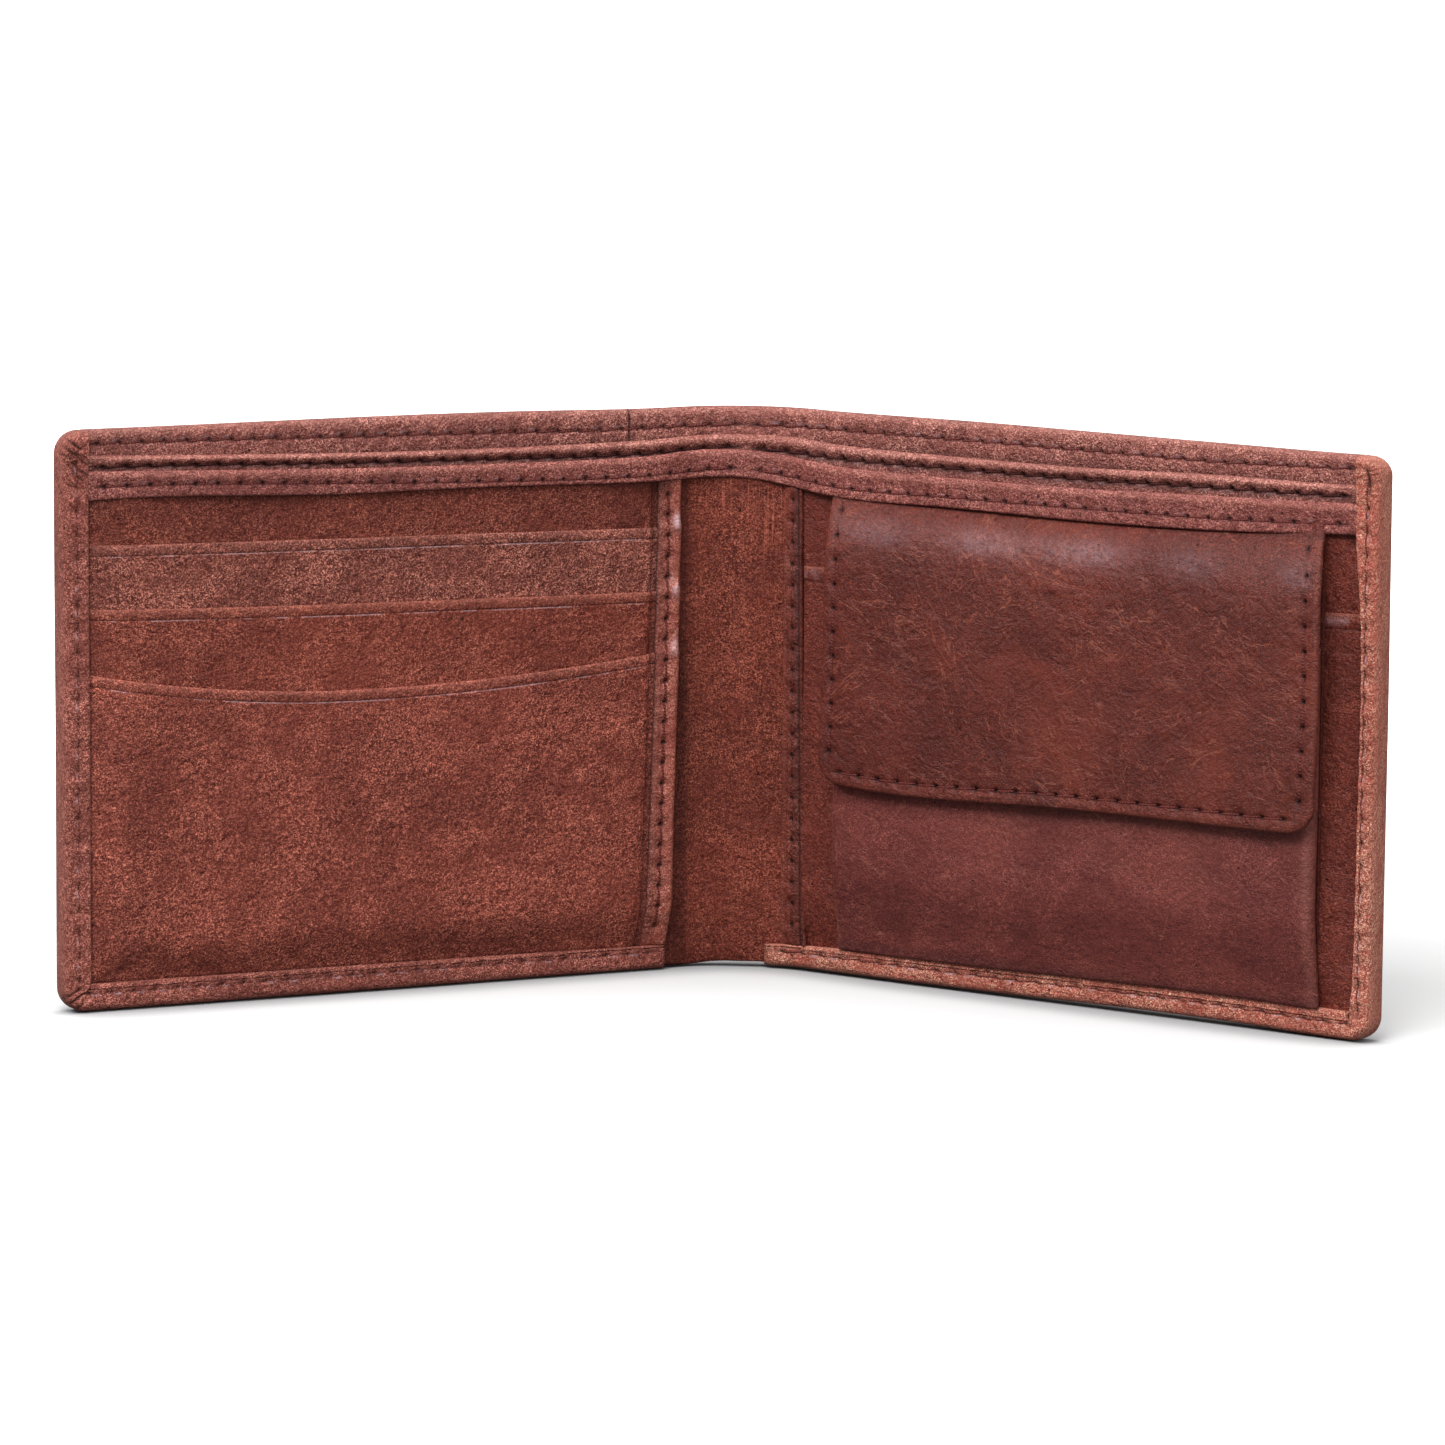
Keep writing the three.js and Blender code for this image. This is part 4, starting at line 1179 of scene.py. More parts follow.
# ---------------------------------------------------------------- linings, divider, edging, front band
LININGS = (      # (name, depth, thickness, top z, also at the spine)
    ("cover_lining_", 1.5, 0.4, 86.2, True),
    ("divider_", 3.05, 0.4, 84.0, True),
    ("inner_lining_", 3.55, 0.35, 80.0, False),
)
EDGING_HEIGHT = 5.2
EDGING_DROP = 1.9          # nominal stitch line below the edging's top
BAND_SEAM = 0.40           # the band's stitch line as a part of its height


def linings(side):
    for name, level, thick, top, at_spine in LININGS:
        ob = panel(name + TAG[side], "lining", side, (0, OUTER[side] - 1.6), (1.6, top), 3.0,
                   lambda x, z, *_: level + 0.05 * ripple(x, z, 30, 3), thick, cut=True)
        place(ob, FOLD[side], "pocket_fabric",
              *(with_spine(side, name) if at_spine else [name + TAG[side]]))


def divider_edging(side, inner_end):
    """Leather folded over the divider's top."""
    end = inner_end + 0.6
    spots = holes(1.0, inner_end - 1.0)
    seam_row = EDGING_HEIGHT - EDGING_DROP
    rows = span(0, EDGING_HEIGHT, 0.7, [seam_row + step for step in SEAM_STEPS]
                + [EDGING_HEIGHT - step for step in (0.1, 0.25, 0.5, 0.8, 1.15)])

    def warp(col, row):
        x = side * col
        top, stitch, above = edging_z(x), edging_stitch_z(x), row - seam_row
        return x, stitch + np.where(above > 0, above * (top - stitch) / EDGING_DROP, above)

    def depth(x, z, col, row):
        roll = bell(EDGING_HEIGHT - row - 0.75, 0.7) * smooth((OUTER[side] - 4 - np.abs(x)) / 9)
        return edging_depth(x) + 0.32 * roll + 0.05 * ripple(x, row, 9, 41)

    def relief(x, z, col, row):
        return seam_dent(col, row - seam_row, spots, deep=0.24, hole=0.4, pucker=0.10,
                         slant=0.2 * side)

    def mask(x, z, col, row, edge):
        dark = seam_dark(col, row - seam_row, spots, line=1.0, width=0.25, slant=0.22 * side,
                         dot=1.5)
        # wear and painted highlight on the rolled top; stitch line and painted shade just below it,
        # above the band; painted glints by the stitches
        return dict(worn=0.55 * bell(EDGING_HEIGHT - row - 0.55, 0.45),
                    dark=dark + 0.6 * bell(row - (EDGING_HEIGHT - 2.35), 0.32),
                    glint=seam_glint(col, row - seam_row, spots, side, aside=-0.42,
                                     strength=0.55))
    ob = sheet("divider_edging_" + TAG[side], "hem", side,
               span(0, end, 1.6, hole_lines(spots), first=False), rows, depth, 1.25,
               box(-math.inf, end, -0.3, EDGING_HEIGHT), mask, warp, rim=0.6, cut=True,
               relief=relief)
    place(ob, FOLD[side], "panel_leather", *with_spine(side, "divider_edging_"))
    run = [hole_at(x, edging_stitch_z(x), edging_depth(x) - 0.12) for x in side * spots]
    ob = stitches("thread_edging_" + TAG[side], "thread_dark", [run],
                  radius=0.2, lift=0.0, sag=0.3, slant=0.08)
    place(ob, FOLD[side], "thread", *with_spine(side, "thread_edging_"))


def front_band(side, inner_end):
    """Rows run from 0 at the cut lower edge to 1 at the folded top edge."""
    end = inner_end + 0.6
    spots = holes(0.6, inner_end - 0.8)
    seam_steps = (-0.12, -0.085, -0.055, -0.03, 0, 0.03, 0.055, 0.085, 0.12)
    rows = np.unique(np.round(np.concatenate([
        [0, 0.012, 0.03, 0.06, 0.10, 0.16], np.linspace(0.2, 0.8, 8),
        [BAND_SEAM + step for step in seam_steps],
        [0.84, 0.88, 0.92, 0.955, 0.98, 0.993, 1.0]]), 4))
    slant = 0.07 * side

    def warp(col, row):
        x = side * col
        low, seam, top = band_low_z(x), band_stitch_z(x), band_z(x)
        below = low + (seam - low) * row / BAND_SEAM
        above = seam + (top - seam) * (row - BAND_SEAM) / (1 - BAND_SEAM)
        return x, np.where(row < BAND_SEAM, below, above)

    def depth(x, z, *_):
        return band_depth(x) + 0.18 * bell(band_z(x) - z - 0.9, 0.8) + 0.05 * ripple(x, z, 8, 43)

    def dist(x, z, col, row):
        return least(end - col, np.maximum(z - band_low_z(x), 0), np.maximum(band_z(x) - z, 0))

    def relief(x, z, col, row):
        return seam_dent(col, z - band_stitch_z(x), spots, deep=0.12, hole=0.34, pucker=0.08,
                         slant=slant)

    def mask(x, z, col, row, edge):
        offset = z - band_stitch_z(x)
        dark = seam_dark(col, offset, spots, line=0.8, width=0.17, slant=slant, dot=2.0)
        # wear and painted highlight on the rolled top; stitch line, darker along the lower cut edge;
        # painted glints by the stitches
        return dict(worn=0.5 * bell(band_z(x) - z - 0.7, 0.35),
                    dark=dark + 0.85 * bell(z - band_low_z(x), 0.14),
                    glint=seam_glint(col, offset, spots, side, aside=0.36, strength=0.35))
    ob = sheet("front_band_" + TAG[side], "band", side,
               span(0, end, 1.6, hole_lines(spots), first=False), rows, depth, 0.95, dist, mask,
               warp, rim=0.45, cut=True, relief=relief)
    place(ob, FOLD[side], "panel_leather", *with_spine(side, "front_band_"))
    run = [hole_at(x, band_stitch_z(x), band_depth(x) - 0.1) for x in side * spots]
    ob = stitches("thread_band_" + TAG[side], "thread", [run],
                  radius=0.16, lift=0.06, sag=0.3, slant=0.06)
    place(ob, FOLD[side], "thread", *with_spine(side, "thread_band_"))


for side in SIDES:
    linings(side)
    divider_edging(side, OUTER[side] - BORDER[side])
    front_band(side, OUTER[side] - BORDER[side])


# ---------------------------------------------------------------- spine lining
SPINE_LOW, SPINE_TOP = 0.25, 80.5


def spine_lining(side):
    cols = np.arange(0, HALF_SPINE + (8.0 if side < 0 else 2.6) + 1e-6, 0.22)

    def warp(col, row):
        return side * col, row + (0.5 * smooth((10 - col) / 8)
                                  * (1 - smooth((row - SPINE_LOW) / 7)))

    def depth(x, z, *_):
        level = 4.05 + 0.35 * bell(x - 1.0, 5.0)
        rng = np.random.default_rng(77)
        for _ in range(22):      # fine upright creases
            centre, width = rng.uniform(-9, 7), rng.uniform(0.15, 0.32)
            deep = rng.uniform(0.012, 0.045)
            middle, reach = rng.uniform(20, 85), rng.uniform(18, 60)
            drift = 0.5 * np.sin(z / rng.uniform(20, 50) + rng.uniform(0, 6))
            level = level - deep * bell(x - centre - drift, width) * bell(z - middle, reach)
        return level + 0.07 * ripple(x * 2, z * 0.3, 10, 47) - 0.5 * smooth((3.0 - z) / 3.0)

    def mask(x, z, *_):
        # painted shade beside the two strips and along the foot
        return dict(dark=(0.5 * bell(np.clip(-10.6 - x, -9, 0), 1.5) * smooth((-x - 8.2) / 1.6)
                          + 0.12 * bell(x + 9.6, 0.7) + 0.22 * bell(x - 8.2, 1.0)
                          + 0.5 * bell(z - SPINE_LOW, 0.4)))
    ob = sheet("spine_lining_" + TAG[side], "spine", side, cols, span(SPINE_LOW, SPINE_TOP, 2.0),
               depth, 0.7, box(-math.inf, cols[-1], SPINE_LOW, SPINE_TOP), mask, warp, rim=0.35,
               cut=True)
    place(ob, FOLD[side], "spine_leather", *(["spine_lining"] if side > 0 else []))


for side in SIDES:
    spine_lining(side)


# ---------------------------------------------------------------- left half: card slots
def inset(x, z, side):
    """0 at the turned border, 1 well inside: the stack is pressed thin at its sewn edges."""
    gap = np.minimum(OUTER[side] - BORDER[side] - np.abs(x), z - BORDER_LOW)
    return smooth((gap + 1.6) / 8.0)


CARD_START = HALF_SPINE + 6.6
CARD_END = OUTER[LEFT] - BORDER[LEFT] + 0.8
CARD_LOW = BORDER_LOW - 1.0
NICK_X = HALF_SPINE + 18.8     # short upright nick at the foot of the lowest leaf
MOUTH_BAND = 4.5               # finely divided band below each mouth
# (name, material, depth where sewn, full depth, mouth number, colour slot)
LEAVES = (
    ("card_base_panel", "base", 3.6, 4.65, None, "base_leather"),
    ("card_slot_top", "slot1", 3.85, 5.2, 0, "panel_leather"),
    ("card_slot_middle", "slot2", 4.1, 5.75, 1, "panel_leather"),
    ("card_slot_bottom", "slot3", 4.35, 6.3, 2, "panel_leather"),
)
# heights of the mouths: (from the fold line, z)
MOUTHS = (
    curve((6, 71.3), (40, 71.7), (75, 72.05), (106, 72.45)),
    curve((6, 61.15), (40, 61.45), (75, 61.9), (106, 62.6)),
    curve((6, 51.9), (12, 51.1), (26, 49.7), (40, 48.7), (56, 48.2), (72, 48.5), (90, 50.2),
          (106, 52.7)),
)
# edges of the strip over the leaves' ends: (z, from the fold line)
strip_outer = curve((3, 11.1), (8, 10.9), (30, 10.1), (53, 9.4), (72, 8.55), (80, 8.4))
strip_inner = curve((3, 6.5), (8, 6.3), (25, 6.0), (44, 5.5), (58, 5.0), (71, 4.5), (80, 4.3))


def card_leaf(name, mat, thin, full, mouth, slot):
    has_mouth, lowest = mouth is not None, mouth == 2

    def top(x):
        return MOUTHS[mouth](np.abs(x) - HALF_SPINE) if has_mouth else np.full_like(x, 80.5)
    # rows are minus the distance below the mouth, then 0..1 for the rest of the leaf
    below = np.array([0.0, 0.05, 0.15, 0.3, 0.5, 0.8, 1.1, 1.35, 1.5, 1.62, 1.72, 1.82, 1.95,
                      2.1, 2.4, 2.9, 3.6, MOUTH_BAND])
    rest = np.linspace(0, 1, 48 if lowest else 34)[1:]
    cols = [CARD_START + 2.0 + 0.22 * i for i in range(17)]
    cols += [CARD_END - 0.8 + step for step in (-0.75, -0.5, -0.35, -0.2, -0.05, 0.1, 0.3)]
    if lowest:
        foot = np.array([1.6, 1.3, 1.05, 0.75, 0.6, 0.45, 0.3, 0.15])
        rest = np.unique(np.concatenate([rest, 1 - foot / 43.0]))
        cols += [NICK_X + step for step in (-0.5, -0.25, -0.12, 0, 0.12, 0.25, 0.5)]
    rows = np.concatenate([-below, rest])[::-1]

    def warp(col, row):
        edge = top(-col)
        band = edge - MOUTH_BAND
        return -col, np.where(row <= 0, edge + row, band - (band - CARD_LOW) * row)

    def depth(x, z, *_):
        inside, down = inset(x, z, LEFT), top(x) - z
        level = thin + (full - thin) * inside + 0.10 * ripple(x, z, 26, 50 + (mouth or 0)) * inside
        # the leaves swell a little in the middle and dip towards the edge strip
        level = level + (0.25 * inside * smooth((down - 1) / 20)
                         * smooth((np.abs(x) - CARD_START) / 25))
        level = level - 0.45 * smooth((HALF_SPINE + strip_outer(z) + 1.9 - np.abs(x)) / 1.4)
        if has_mouth:
            crease = 0.75 + 0.25 * ripple(x, down * 0, 14, 61 + mouth)
            level = (level + 0.10 * bell(down - 0.8, 0.5)
                     - 0.13 * bell(down - 1.72, 0.13) * crease)
        return level

    def dist(x, z, col, row):
        return least(col - CARD_START, CARD_END - col, np.maximum(z - CARD_LOW, 0),
                     np.maximum(top(x) - z, 0))

    def mask(x, z, *_):
        away, down = np.abs(x), top(x) - z
        worn = glint = 0
        # shade beside the strip and where the turned edge lies on the leaf
        gap = away - HALF_SPINE - strip_outer(z)
        rim = away - (OUTER[LEFT] - BORDER[LEFT])
        dark = (0.42 * smooth((1.15 - gap) / 0.25) + 0.4 * bell(gap - 1.0, 0.13)
                + 0.6 * bell(rim + 0.14, 0.2))
        if has_mouth:
            # wear and painted highlight on the lip, painted shade in the crease below it and a painted
            # glint on the crease's lower side
            worn = 0.5 * bell(down, 0.75) + 0.12 * bell(down - 1.2, 0.5)
            glint = (0.62 * bell(down - 1.80, 0.07) * smooth(away - CARD_START - 4.5)
                     * smooth(CARD_END - 3 - away))
            dark = dark + 0.5 * bell(down - 1.62, 0.10)
        if lowest:
            # painted shade along the turned edge's foot and in the nick
            dark = (dark + 0.55 * bell(z - FOOT_WIDTH[LEFT](away) - 0.1, 0.22)
                    + 0.8 * bell(away - NICK_X, 0.16) * smooth((7.6 - z) / 0.6))
        return dict(worn=worn, dark=dark, glint=glint)
    # side 1 winds the faces opposite to the other sheets of this half
    ob = sheet(name, mat, 1, span(CARD_START, CARD_END, 1.1, cols), rows, depth,
               0.55 if has_mouth else 0.5, dist, mask, warp, rim=0.3)
    place(ob, "left_half", slot, name)


for leaf in LEAVES:
    card_leaf(*leaf)
for name, top, full in (("card_slot_top_lining", 61.0, 5.0),
                        ("card_slot_middle_lining", 48.0, 5.5)):
    ob = panel(name, "lining", LEFT, (CARD_START + 3, CARD_END - 2), (9, top), 3,
               lambda x, z, *_: 3.7 + (full - 3.7) * inset(x, z, LEFT) - 0.3, 0.12)
    place(ob, "left_half", "pocket_fabric", name)

# ---------------------------------------------------------------- strip over the leaves' ends
STRIP_LOW = BORDER_LOW - 0.8
STRIP_SEAM = 0.56          # stitch line as a part of the strip's width


def stack_depth(z):
    """The leaves under the strip step up below each mouth."""
    level = 4.65 + sum(0.55 * smooth((step - z) / 1.6) for step in (72.6, 62.4, 52.6))
    return 4.2 + (level - 4.2) * smooth((z - 3.0) / 9)


def mouth_bumps(z):
    return sum(bell(z - c, 1.3) for c in (72.4, 62.0, 52.6))


def card_edge_strip():
    """Columns run 0..1 from the spine side to the folded free edge."""
    top, pitch = 79.6, 3.3
    spots = holes(5.6, 78.2, pitch)
    seam_steps = np.array([-0.12, -0.07, -0.03, 0, 0.03, 0.07, 0.12])
    cols = np.unique(np.round(np.concatenate([
        [0, 0.012, 0.035, 0.07, 0.12, 0.18, 0.25, 0.33, 0.42], STRIP_SEAM + seam_steps,
        [0.75, 0.82, 0.88, 0.93, 0.965, 0.988, 1.0]]), 4))

    def width(z):
        return strip_outer(z) - strip_inner(z)

    def strip_x(part, z):
        return -(HALF_SPINE + strip_inner(z) + width(z) * part)

    def depth(x, z, col, row):
        level = (stack_depth(z) + 0.2 + 0.45 * bell(col - 0.22, 0.22)
                 + 0.55 * mouth_bumps(z) * bell(col - 0.28, 0.2))
        return level - 0.25 * smooth((col - 0.7) / 0.3) + 0.05 * ripple(x, z, 6, 71)

    def dist(x, z, col, row):
        return least(col * 4.1, (1 - col) * 4.1 + 0.02 * (col < 1), z - STRIP_LOW, top - z)

    def relief(x, z, col, row):
        return seam_dent(z, (col - STRIP_SEAM) * width(z), spots, deep=0.14, hole=0.38,
                         pucker=0.12)

    def mask(x, z, col, row, edge):
        wide, bumps = width(z), mouth_bumps(z)
        dark = seam_dark(z, (col - STRIP_SEAM) * wide, spots, line=0.3, width=0.16, dot=1.8)
        # wear and painted highlight on the bumps, painted glints on them; stitch line, the outer part
        # towards the free edge darker, painted shade along both edges
        return dict(worn=0.1 * bell(col - 0.12, 0.1) + 0.5 * bumps * bell(col - 0.25, 0.14),
                    dark=(dark + 0.32 * smooth((col - 0.66) / 0.1)
                          + 0.55 * bell((col - 1) * wide, 0.2) + 0.5 * bell(col * wide, 0.25)),
                    glint=bumps * bell(col - 0.27, 0.15))
    thick = 1.5 - 0.8 * smooth((cols[:, None] - 0.5) / 0.4)
    ob = sheet("card_edge_strip", "strip", LEFT, cols,
               span(STRIP_LOW, top, 1.1, hole_lines(spots, pitch)), depth, thick, dist, mask,
               lambda col, row: (strip_x(col, row), row), rim=0.6, relief=relief)
    place(ob, "left_half", "panel_leather", "card_edge_strip")
    run = [hole_at(strip_x(STRIP_SEAM, z), z, stack_depth(z) + 0.27) for z in spots]
    ob = stitches("thread_card_strip", "thread", [run],
                  radius=0.19, lift=-0.02, sag=0.28, slant=0.1)
    place(ob, "left_half", "thread", "thread_card_strip")


card_edge_strip()

# ---------------------------------------------------------------- right half: base and slip pocket
RIGHT_START = HALF_SPINE + 3.2
RIGHT_END = OUTER[RIGHT] - 2.6
RIM_LINES = [OUTER[RIGHT] - 4.9 + 0.17 * i for i in range(13)]   # where the turned edge lies
RIGHT_LOW = BORDER_LOW - 1
SLIP_START, SLIP_TOP = HALF_SPINE + 4.4, 65.4


def right_shade(x, z):
    """Shade under the turned edge and towards the fold."""
    return (0.6 * bell(x - OUTER[RIGHT] + right_width(z) + 0.14, 0.24)
            + 0.12 * smooth((HALF_SPINE + 30 - x) / 10))


def slip_depth(x, z, *_):
    down = SLIP_TOP - z
    return (3.9 + 1.4 * inset(x, z, RIGHT) + 0.1 * bell(down - 1.1, 0.7)
            - 0.12 * bell(down - 2.4, 0.2) + 0.08 * ripple(x, z, 22, 83))


def slip_mask(x, z, *_):
    down = SLIP_TOP - z
    crease = 0.9 * bell(down - 2.4, 0.17) * (0.55 + 0.45 * np.cos(2 * math.pi * x / 3.3))
    # wear and painted highlight on the lip, a painted glint below it; the row of stitches, and painted
    # shade from right_shade
    return dict(worn=0.55 * bell(down, 0.7), dark=crease + right_shade(x, z),
                glint=0.25 * bell(down - 1.2, 0.6))


ob = panel("right_base_panel", "slip", RIGHT, (RIGHT_START, RIGHT_END), (RIGHT_LOW, 79.5), 1.6,
           lambda x, z, *_: 3.6 + 1.05 * inset(x, z, RIGHT) + 0.08 * ripple(x, z, 25, 81), 0.5,
           extra_x=RIM_LINES, mask=lambda x, z, *_: dict(dark=right_shade(x, z)))
place(ob, "right_half", "base_leather", "right_base_panel")
slip_rows = [SLIP_TOP - step for step in (0.8, 1.2, 1.6, 2.0, 2.15, 2.3, 2.45, 2.6, 2.9)]
ob = panel("slip_pocket", "slip", RIGHT, (SLIP_START, RIGHT_END), (RIGHT_LOW, SLIP_TOP), 1.6,
           slip_depth, 0.6, extra_x=RIM_LINES, extra_z=slip_rows, mask=slip_mask)
place(ob, "right_half", "base_leather", "slip_pocket")

# ---------------------------------------------------------------- strip along the right fold
# its edges: (z, from the fold line)
fold_strip_inner = curve((3, -0.1), (80, 0.1))
fold_strip_outer = curve((3, 5.2), (35, 4.6), (66, 4.0), (80, 3.8))
FOLD_STRIP_SEAM = 0.46


def fold_strip():
    """Columns run 0..1 away from the fold."""
    top, pitch = 78.2, 3.4
    spots = holes(5.6, 77.4, pitch)
    seam_steps = np.array([-0.09, -0.05, -0.02, 0, 0.02, 0.05, 0.09])
    cols = np.unique(np.round(np.concatenate([
        [0, 0.02, 0.05, 0.1, 0.16, 0.22, 0.28, 0.33], FOLD_STRIP_SEAM + seam_steps,
        [0.55, 0.65, 0.74, 0.8, 0.86, 0.91, 0.95, 0.98, 1.0]]), 4))

    def width(z):
        return fold_strip_outer(z) - fold_strip_inner(z)

    def strip_x(part, z):
        return HALF_SPINE + fold_strip_inner(z) + width(z) * part

    def foot_dip(z):
        return 0.3 * smooth((9 - z) / 6)

    def depth(x, z, col, row):
        level = (4.45 + 0.75 * smooth(col / 0.5)
                 + 0.35 * bell(z - 65.2, 1.2) * bell(col - 0.2, 0.22)
                 - 0.22 * bell(col - 0.80, 0.05) + 0.12 * bell(col - 0.93, 0.05))
        return level + 0.04 * ripple(x, z, 6, 85) - foot_dip(z)

    def dist(x, z, col, row):
        return least(col * 4.3, (1 - col) * 4.3, z - STRIP_LOW, top - z)

    def relief(x, z, col, row):
        return seam_dent(z, (col - FOLD_STRIP_SEAM) * width(z), spots, deep=0.12, hole=0.34,
                         pucker=0.10)

    def mask(x, z, col, row, edge):
        wide = width(z)
        nick = 0.5 * bell(z - 53.4, 0.14) * smooth((0.5 - col) / 0.2)
        # wear on the sewn edge, painted highlight and painted glints on the bumps; stitch line,
        # painted shade in the groove and in the nick, darker beyond the stitch line
        return dict(worn=(0.24 * bell(col - 0.08, 0.1)
                          + 0.7 * bell(z - 65.2, 1.0) * bell(col - 0.2, 0.12)),
                    dark=(seam_dark(z, (col - FOLD_STRIP_SEAM) * wide, spots)
                          + 0.7 * bell((col - 0.80) * wide, 0.2)
                          + 0.3 * smooth((col - 0.45) / 0.1) + nick),
                    glint=(1.2 * bell(z - 65.4, 1.0) * bell(col - 0.2, 0.16)
                           + 0.5 * bell(z - 62.6, 0.7) * bell(col - 0.2, 0.12)))
    ob = sheet("fold_strip", "rstrip", RIGHT, cols,
               span(STRIP_LOW, top, 1.1, hole_lines(spots, pitch)), depth, 0.7, dist, mask,
               lambda col, row: (strip_x(col, row), row), rim=0.35, relief=relief)
    place(ob, "right_half", "panel_leather", "fold_strip")
    thread_depth = 4.45 + 0.75 * smooth(0.8) - 0.12
    run = [hole_at(strip_x(FOLD_STRIP_SEAM, z), z, thread_depth - foot_dip(z)) for z in spots]
    ob = stitches("thread_fold_strip", "thread", [run],
                  radius=0.18, lift=-0.02, sag=0.28, slant=0.08)
    place(ob, "right_half", "thread", "thread_fold_strip")


fold_strip()

# ---------------------------------------------------------------- coin pocket
COIN_START, COIN_END = HALF_SPINE + 11.66, HALF_SPINE + 99.8
COIN_LOW, COIN_MOUTH = 4.3, 60.0
# rise of its lower edge: (from the fold line, rise)
coin_rise = curve((12, 0.0), (35, 0.05), (70, 0.45), (88, 0.35), (97, 0.1))


def pocket_face(x, z):
    """Depth of the front's face: sewn down at its foot, standing off towards its mouth."""
    part = unit((x - COIN_START) / (COIN_END - COIN_START))
    return 5.35 + 2.95 * smooth((z - 3.0) / 16) + 0.25 * np.sin(math.pi * part)


def coin_back_depth(x, z, *_):
    return 4.3 + 1.45 * inset(x, z, RIGHT)


def coin_front():
    def warp(col, row):
        radius = 0.4         # of the lower corners
        shrink = corner_cut(np.clip(COIN_LOW + radius - row, 0, radius), radius)
        middle = (COIN_START + COIN_END) / 2
        x = middle + (col - middle) * (1 - shrink / ((COIN_END - COIN_START) / 2))
        return x, row + coin_rise(x - HALF_SPINE) * (1 - smooth((row - COIN_LOW) / 18))

    def depth(x, z, col, row):
        gap = np.minimum(col - COIN_START, COIN_END - col)
        roll = 1.5 * (1 - quarter(gap / 1.6)) * smooth((z - 5) / 12)
        return (pocket_face(x, z) - roll + 0.14 * ripple(x, z, 30, 91)
                + 0.05 * ripple(x, z, 11, 92) - 0.1 * bell(COIN_MOUTH - z - 1.75, 0.15))

    def mask(x, z, col, row, edge):
        # wear and painted highlight along the sides and the mouth; painted shade along the foot and in
        # the crease below the mouth
        return dict(worn=(0.3 * bell(COIN_END - col - 1.0, 1.0)
                          + 0.35 * bell(col - COIN_START - 0.4, 0.4)
                          + 0.5 * bell(COIN_MOUTH - z, 0.6)),
                    dark=(0.45 * bell(z - 5.2, 0.8)
                          + 0.5 * bell(COIN_MOUTH - z - 1.75, 0.13)))
    ob = panel("coin_pocket_front", "coin", RIGHT, (COIN_START, COIN_END),
               (COIN_LOW, COIN_MOUTH), 1.2, depth, 0.8,
               extra_x=[COIN_START + 1.4, COIN_START + 2.0, COIN_END - 1.4, COIN_END - 2.0],
               extra_z=[COIN_MOUTH - step for step in (1.4, 1.6, 1.75, 1.9, 2.1, 2.5)],
               mask=mask, warp=warp, rim=0.4)
    place(ob, "coin_front", "flap_leather", "coin_pocket_front")


def gusset_path():
    """(x, z, inward x, inward z) down one side, along the foot and up the other."""
    radius, low = 2.0, 6.2
    start, end = COIN_START + 0.9, COIN_END - 0.9
    path = [(start, z, 1, 0) for z in np.linspace(COIN_MOUTH - 0.6, low + radius, 34)]

    def bend(centre_x, first_angle):
        for k in range(1, 7):
            turn = math.radians(first_angle + 90 * k / 6.0)
            path.append((centre_x + radius * math.cos(turn),
                         low + radius + radius * math.sin(turn),
                         -math.cos(turn), -math.sin(turn)))
    bend(start + radius, 180)
    path.extend((x, low, 0, 1) for x in np.linspace(start + radius, end - radius, 50)[1:])
    bend(end - radius, 270)
    path.extend((end, z, -1, 0) for z in np.linspace(low + radius, COIN_MOUTH - 0.6, 34)[1:])
    return np.array(path)


def coin_gusset():
    """A U-shaped strip folded once along its middle, from the half to the pocket's front."""
    path = gusset_path()
    x, z, in_x, in_z = (path[:, i, None, None] for i in range(4))
    count, across = len(path), 9
    back = coin_back_depth(x, z) - 0.1
    front = pocket_face(x, z) - 1.0 - 0.6 * (np.abs(in_x) > 0.5)
    front = np.maximum(front, back + 0.5)
    deep = np.minimum(2.2, 0.3 + (front - back) * 0.9) * np.where(in_z > 0.5, 0.3, 1.0)
    t = np.arange(across) / (across - 1)
    fold = 1 - np.abs(2 * t - 1)
    inward = deep * fold + np.array([-0.22, 0.22])[:, None]      # the two faces of the leather
    depth = back + (front - back) * t
    verts = world(x + in_x * inward, depth + body_wave(x, z), z + in_z * inward)
    shape = inward.shape
    rp = np.stack([np.broadcast_to(c, shape) for c in (x + depth, z + depth, depth)], -1)

    def index(p, layer, i):
        return (p * 2 + layer) * across + i
    faces = []
    last = across - 1
    for p in range(count - 1):
        for i in range(last):
            faces.append([index(p, 0, i), index(p + 1, 0, i), index(p + 1, 0, i + 1),
                          index(p, 0, i + 1)])
            faces.append([index(p, 1, i), index(p, 1, i + 1), index(p + 1, 1, i + 1),
                          index(p + 1, 1, i)])
        faces.append([index(p, 0, 0), index(p, 1, 0), index(p + 1, 1, 0), index(p + 1, 0, 0)])
        faces.append([index(p, 0, last), index(p + 1, 0, last), index(p + 1, 1, last),
                      index(p, 1, last)])
    for p in (0, count - 1):
        for i in range(last):
            quad = [index(p, 0, i), index(p, 0, i + 1), index(p, 1, i + 1), index(p, 1, i)]
            faces.append(quad if p == 0 else quad[::-1])
    # painted shade over the gusset, deepest along its fold
    ob = make("coin_pocket_gusset", verts.reshape(-1, 3), faces, "base_r", rp.reshape(-1, 3),
              paint(shape, dark=0.35 * fold + 0.2).reshape(-1, 3))
    tidy(ob, merge=False)
    motion = ("right_half", "coin_front", tuple(world(50.0, 5.7, 30.0)),
              tuple(world(50.0, 7.4, 30.0)))
    place(ob, motion, "base_leather", "coin_pocket_gusset")


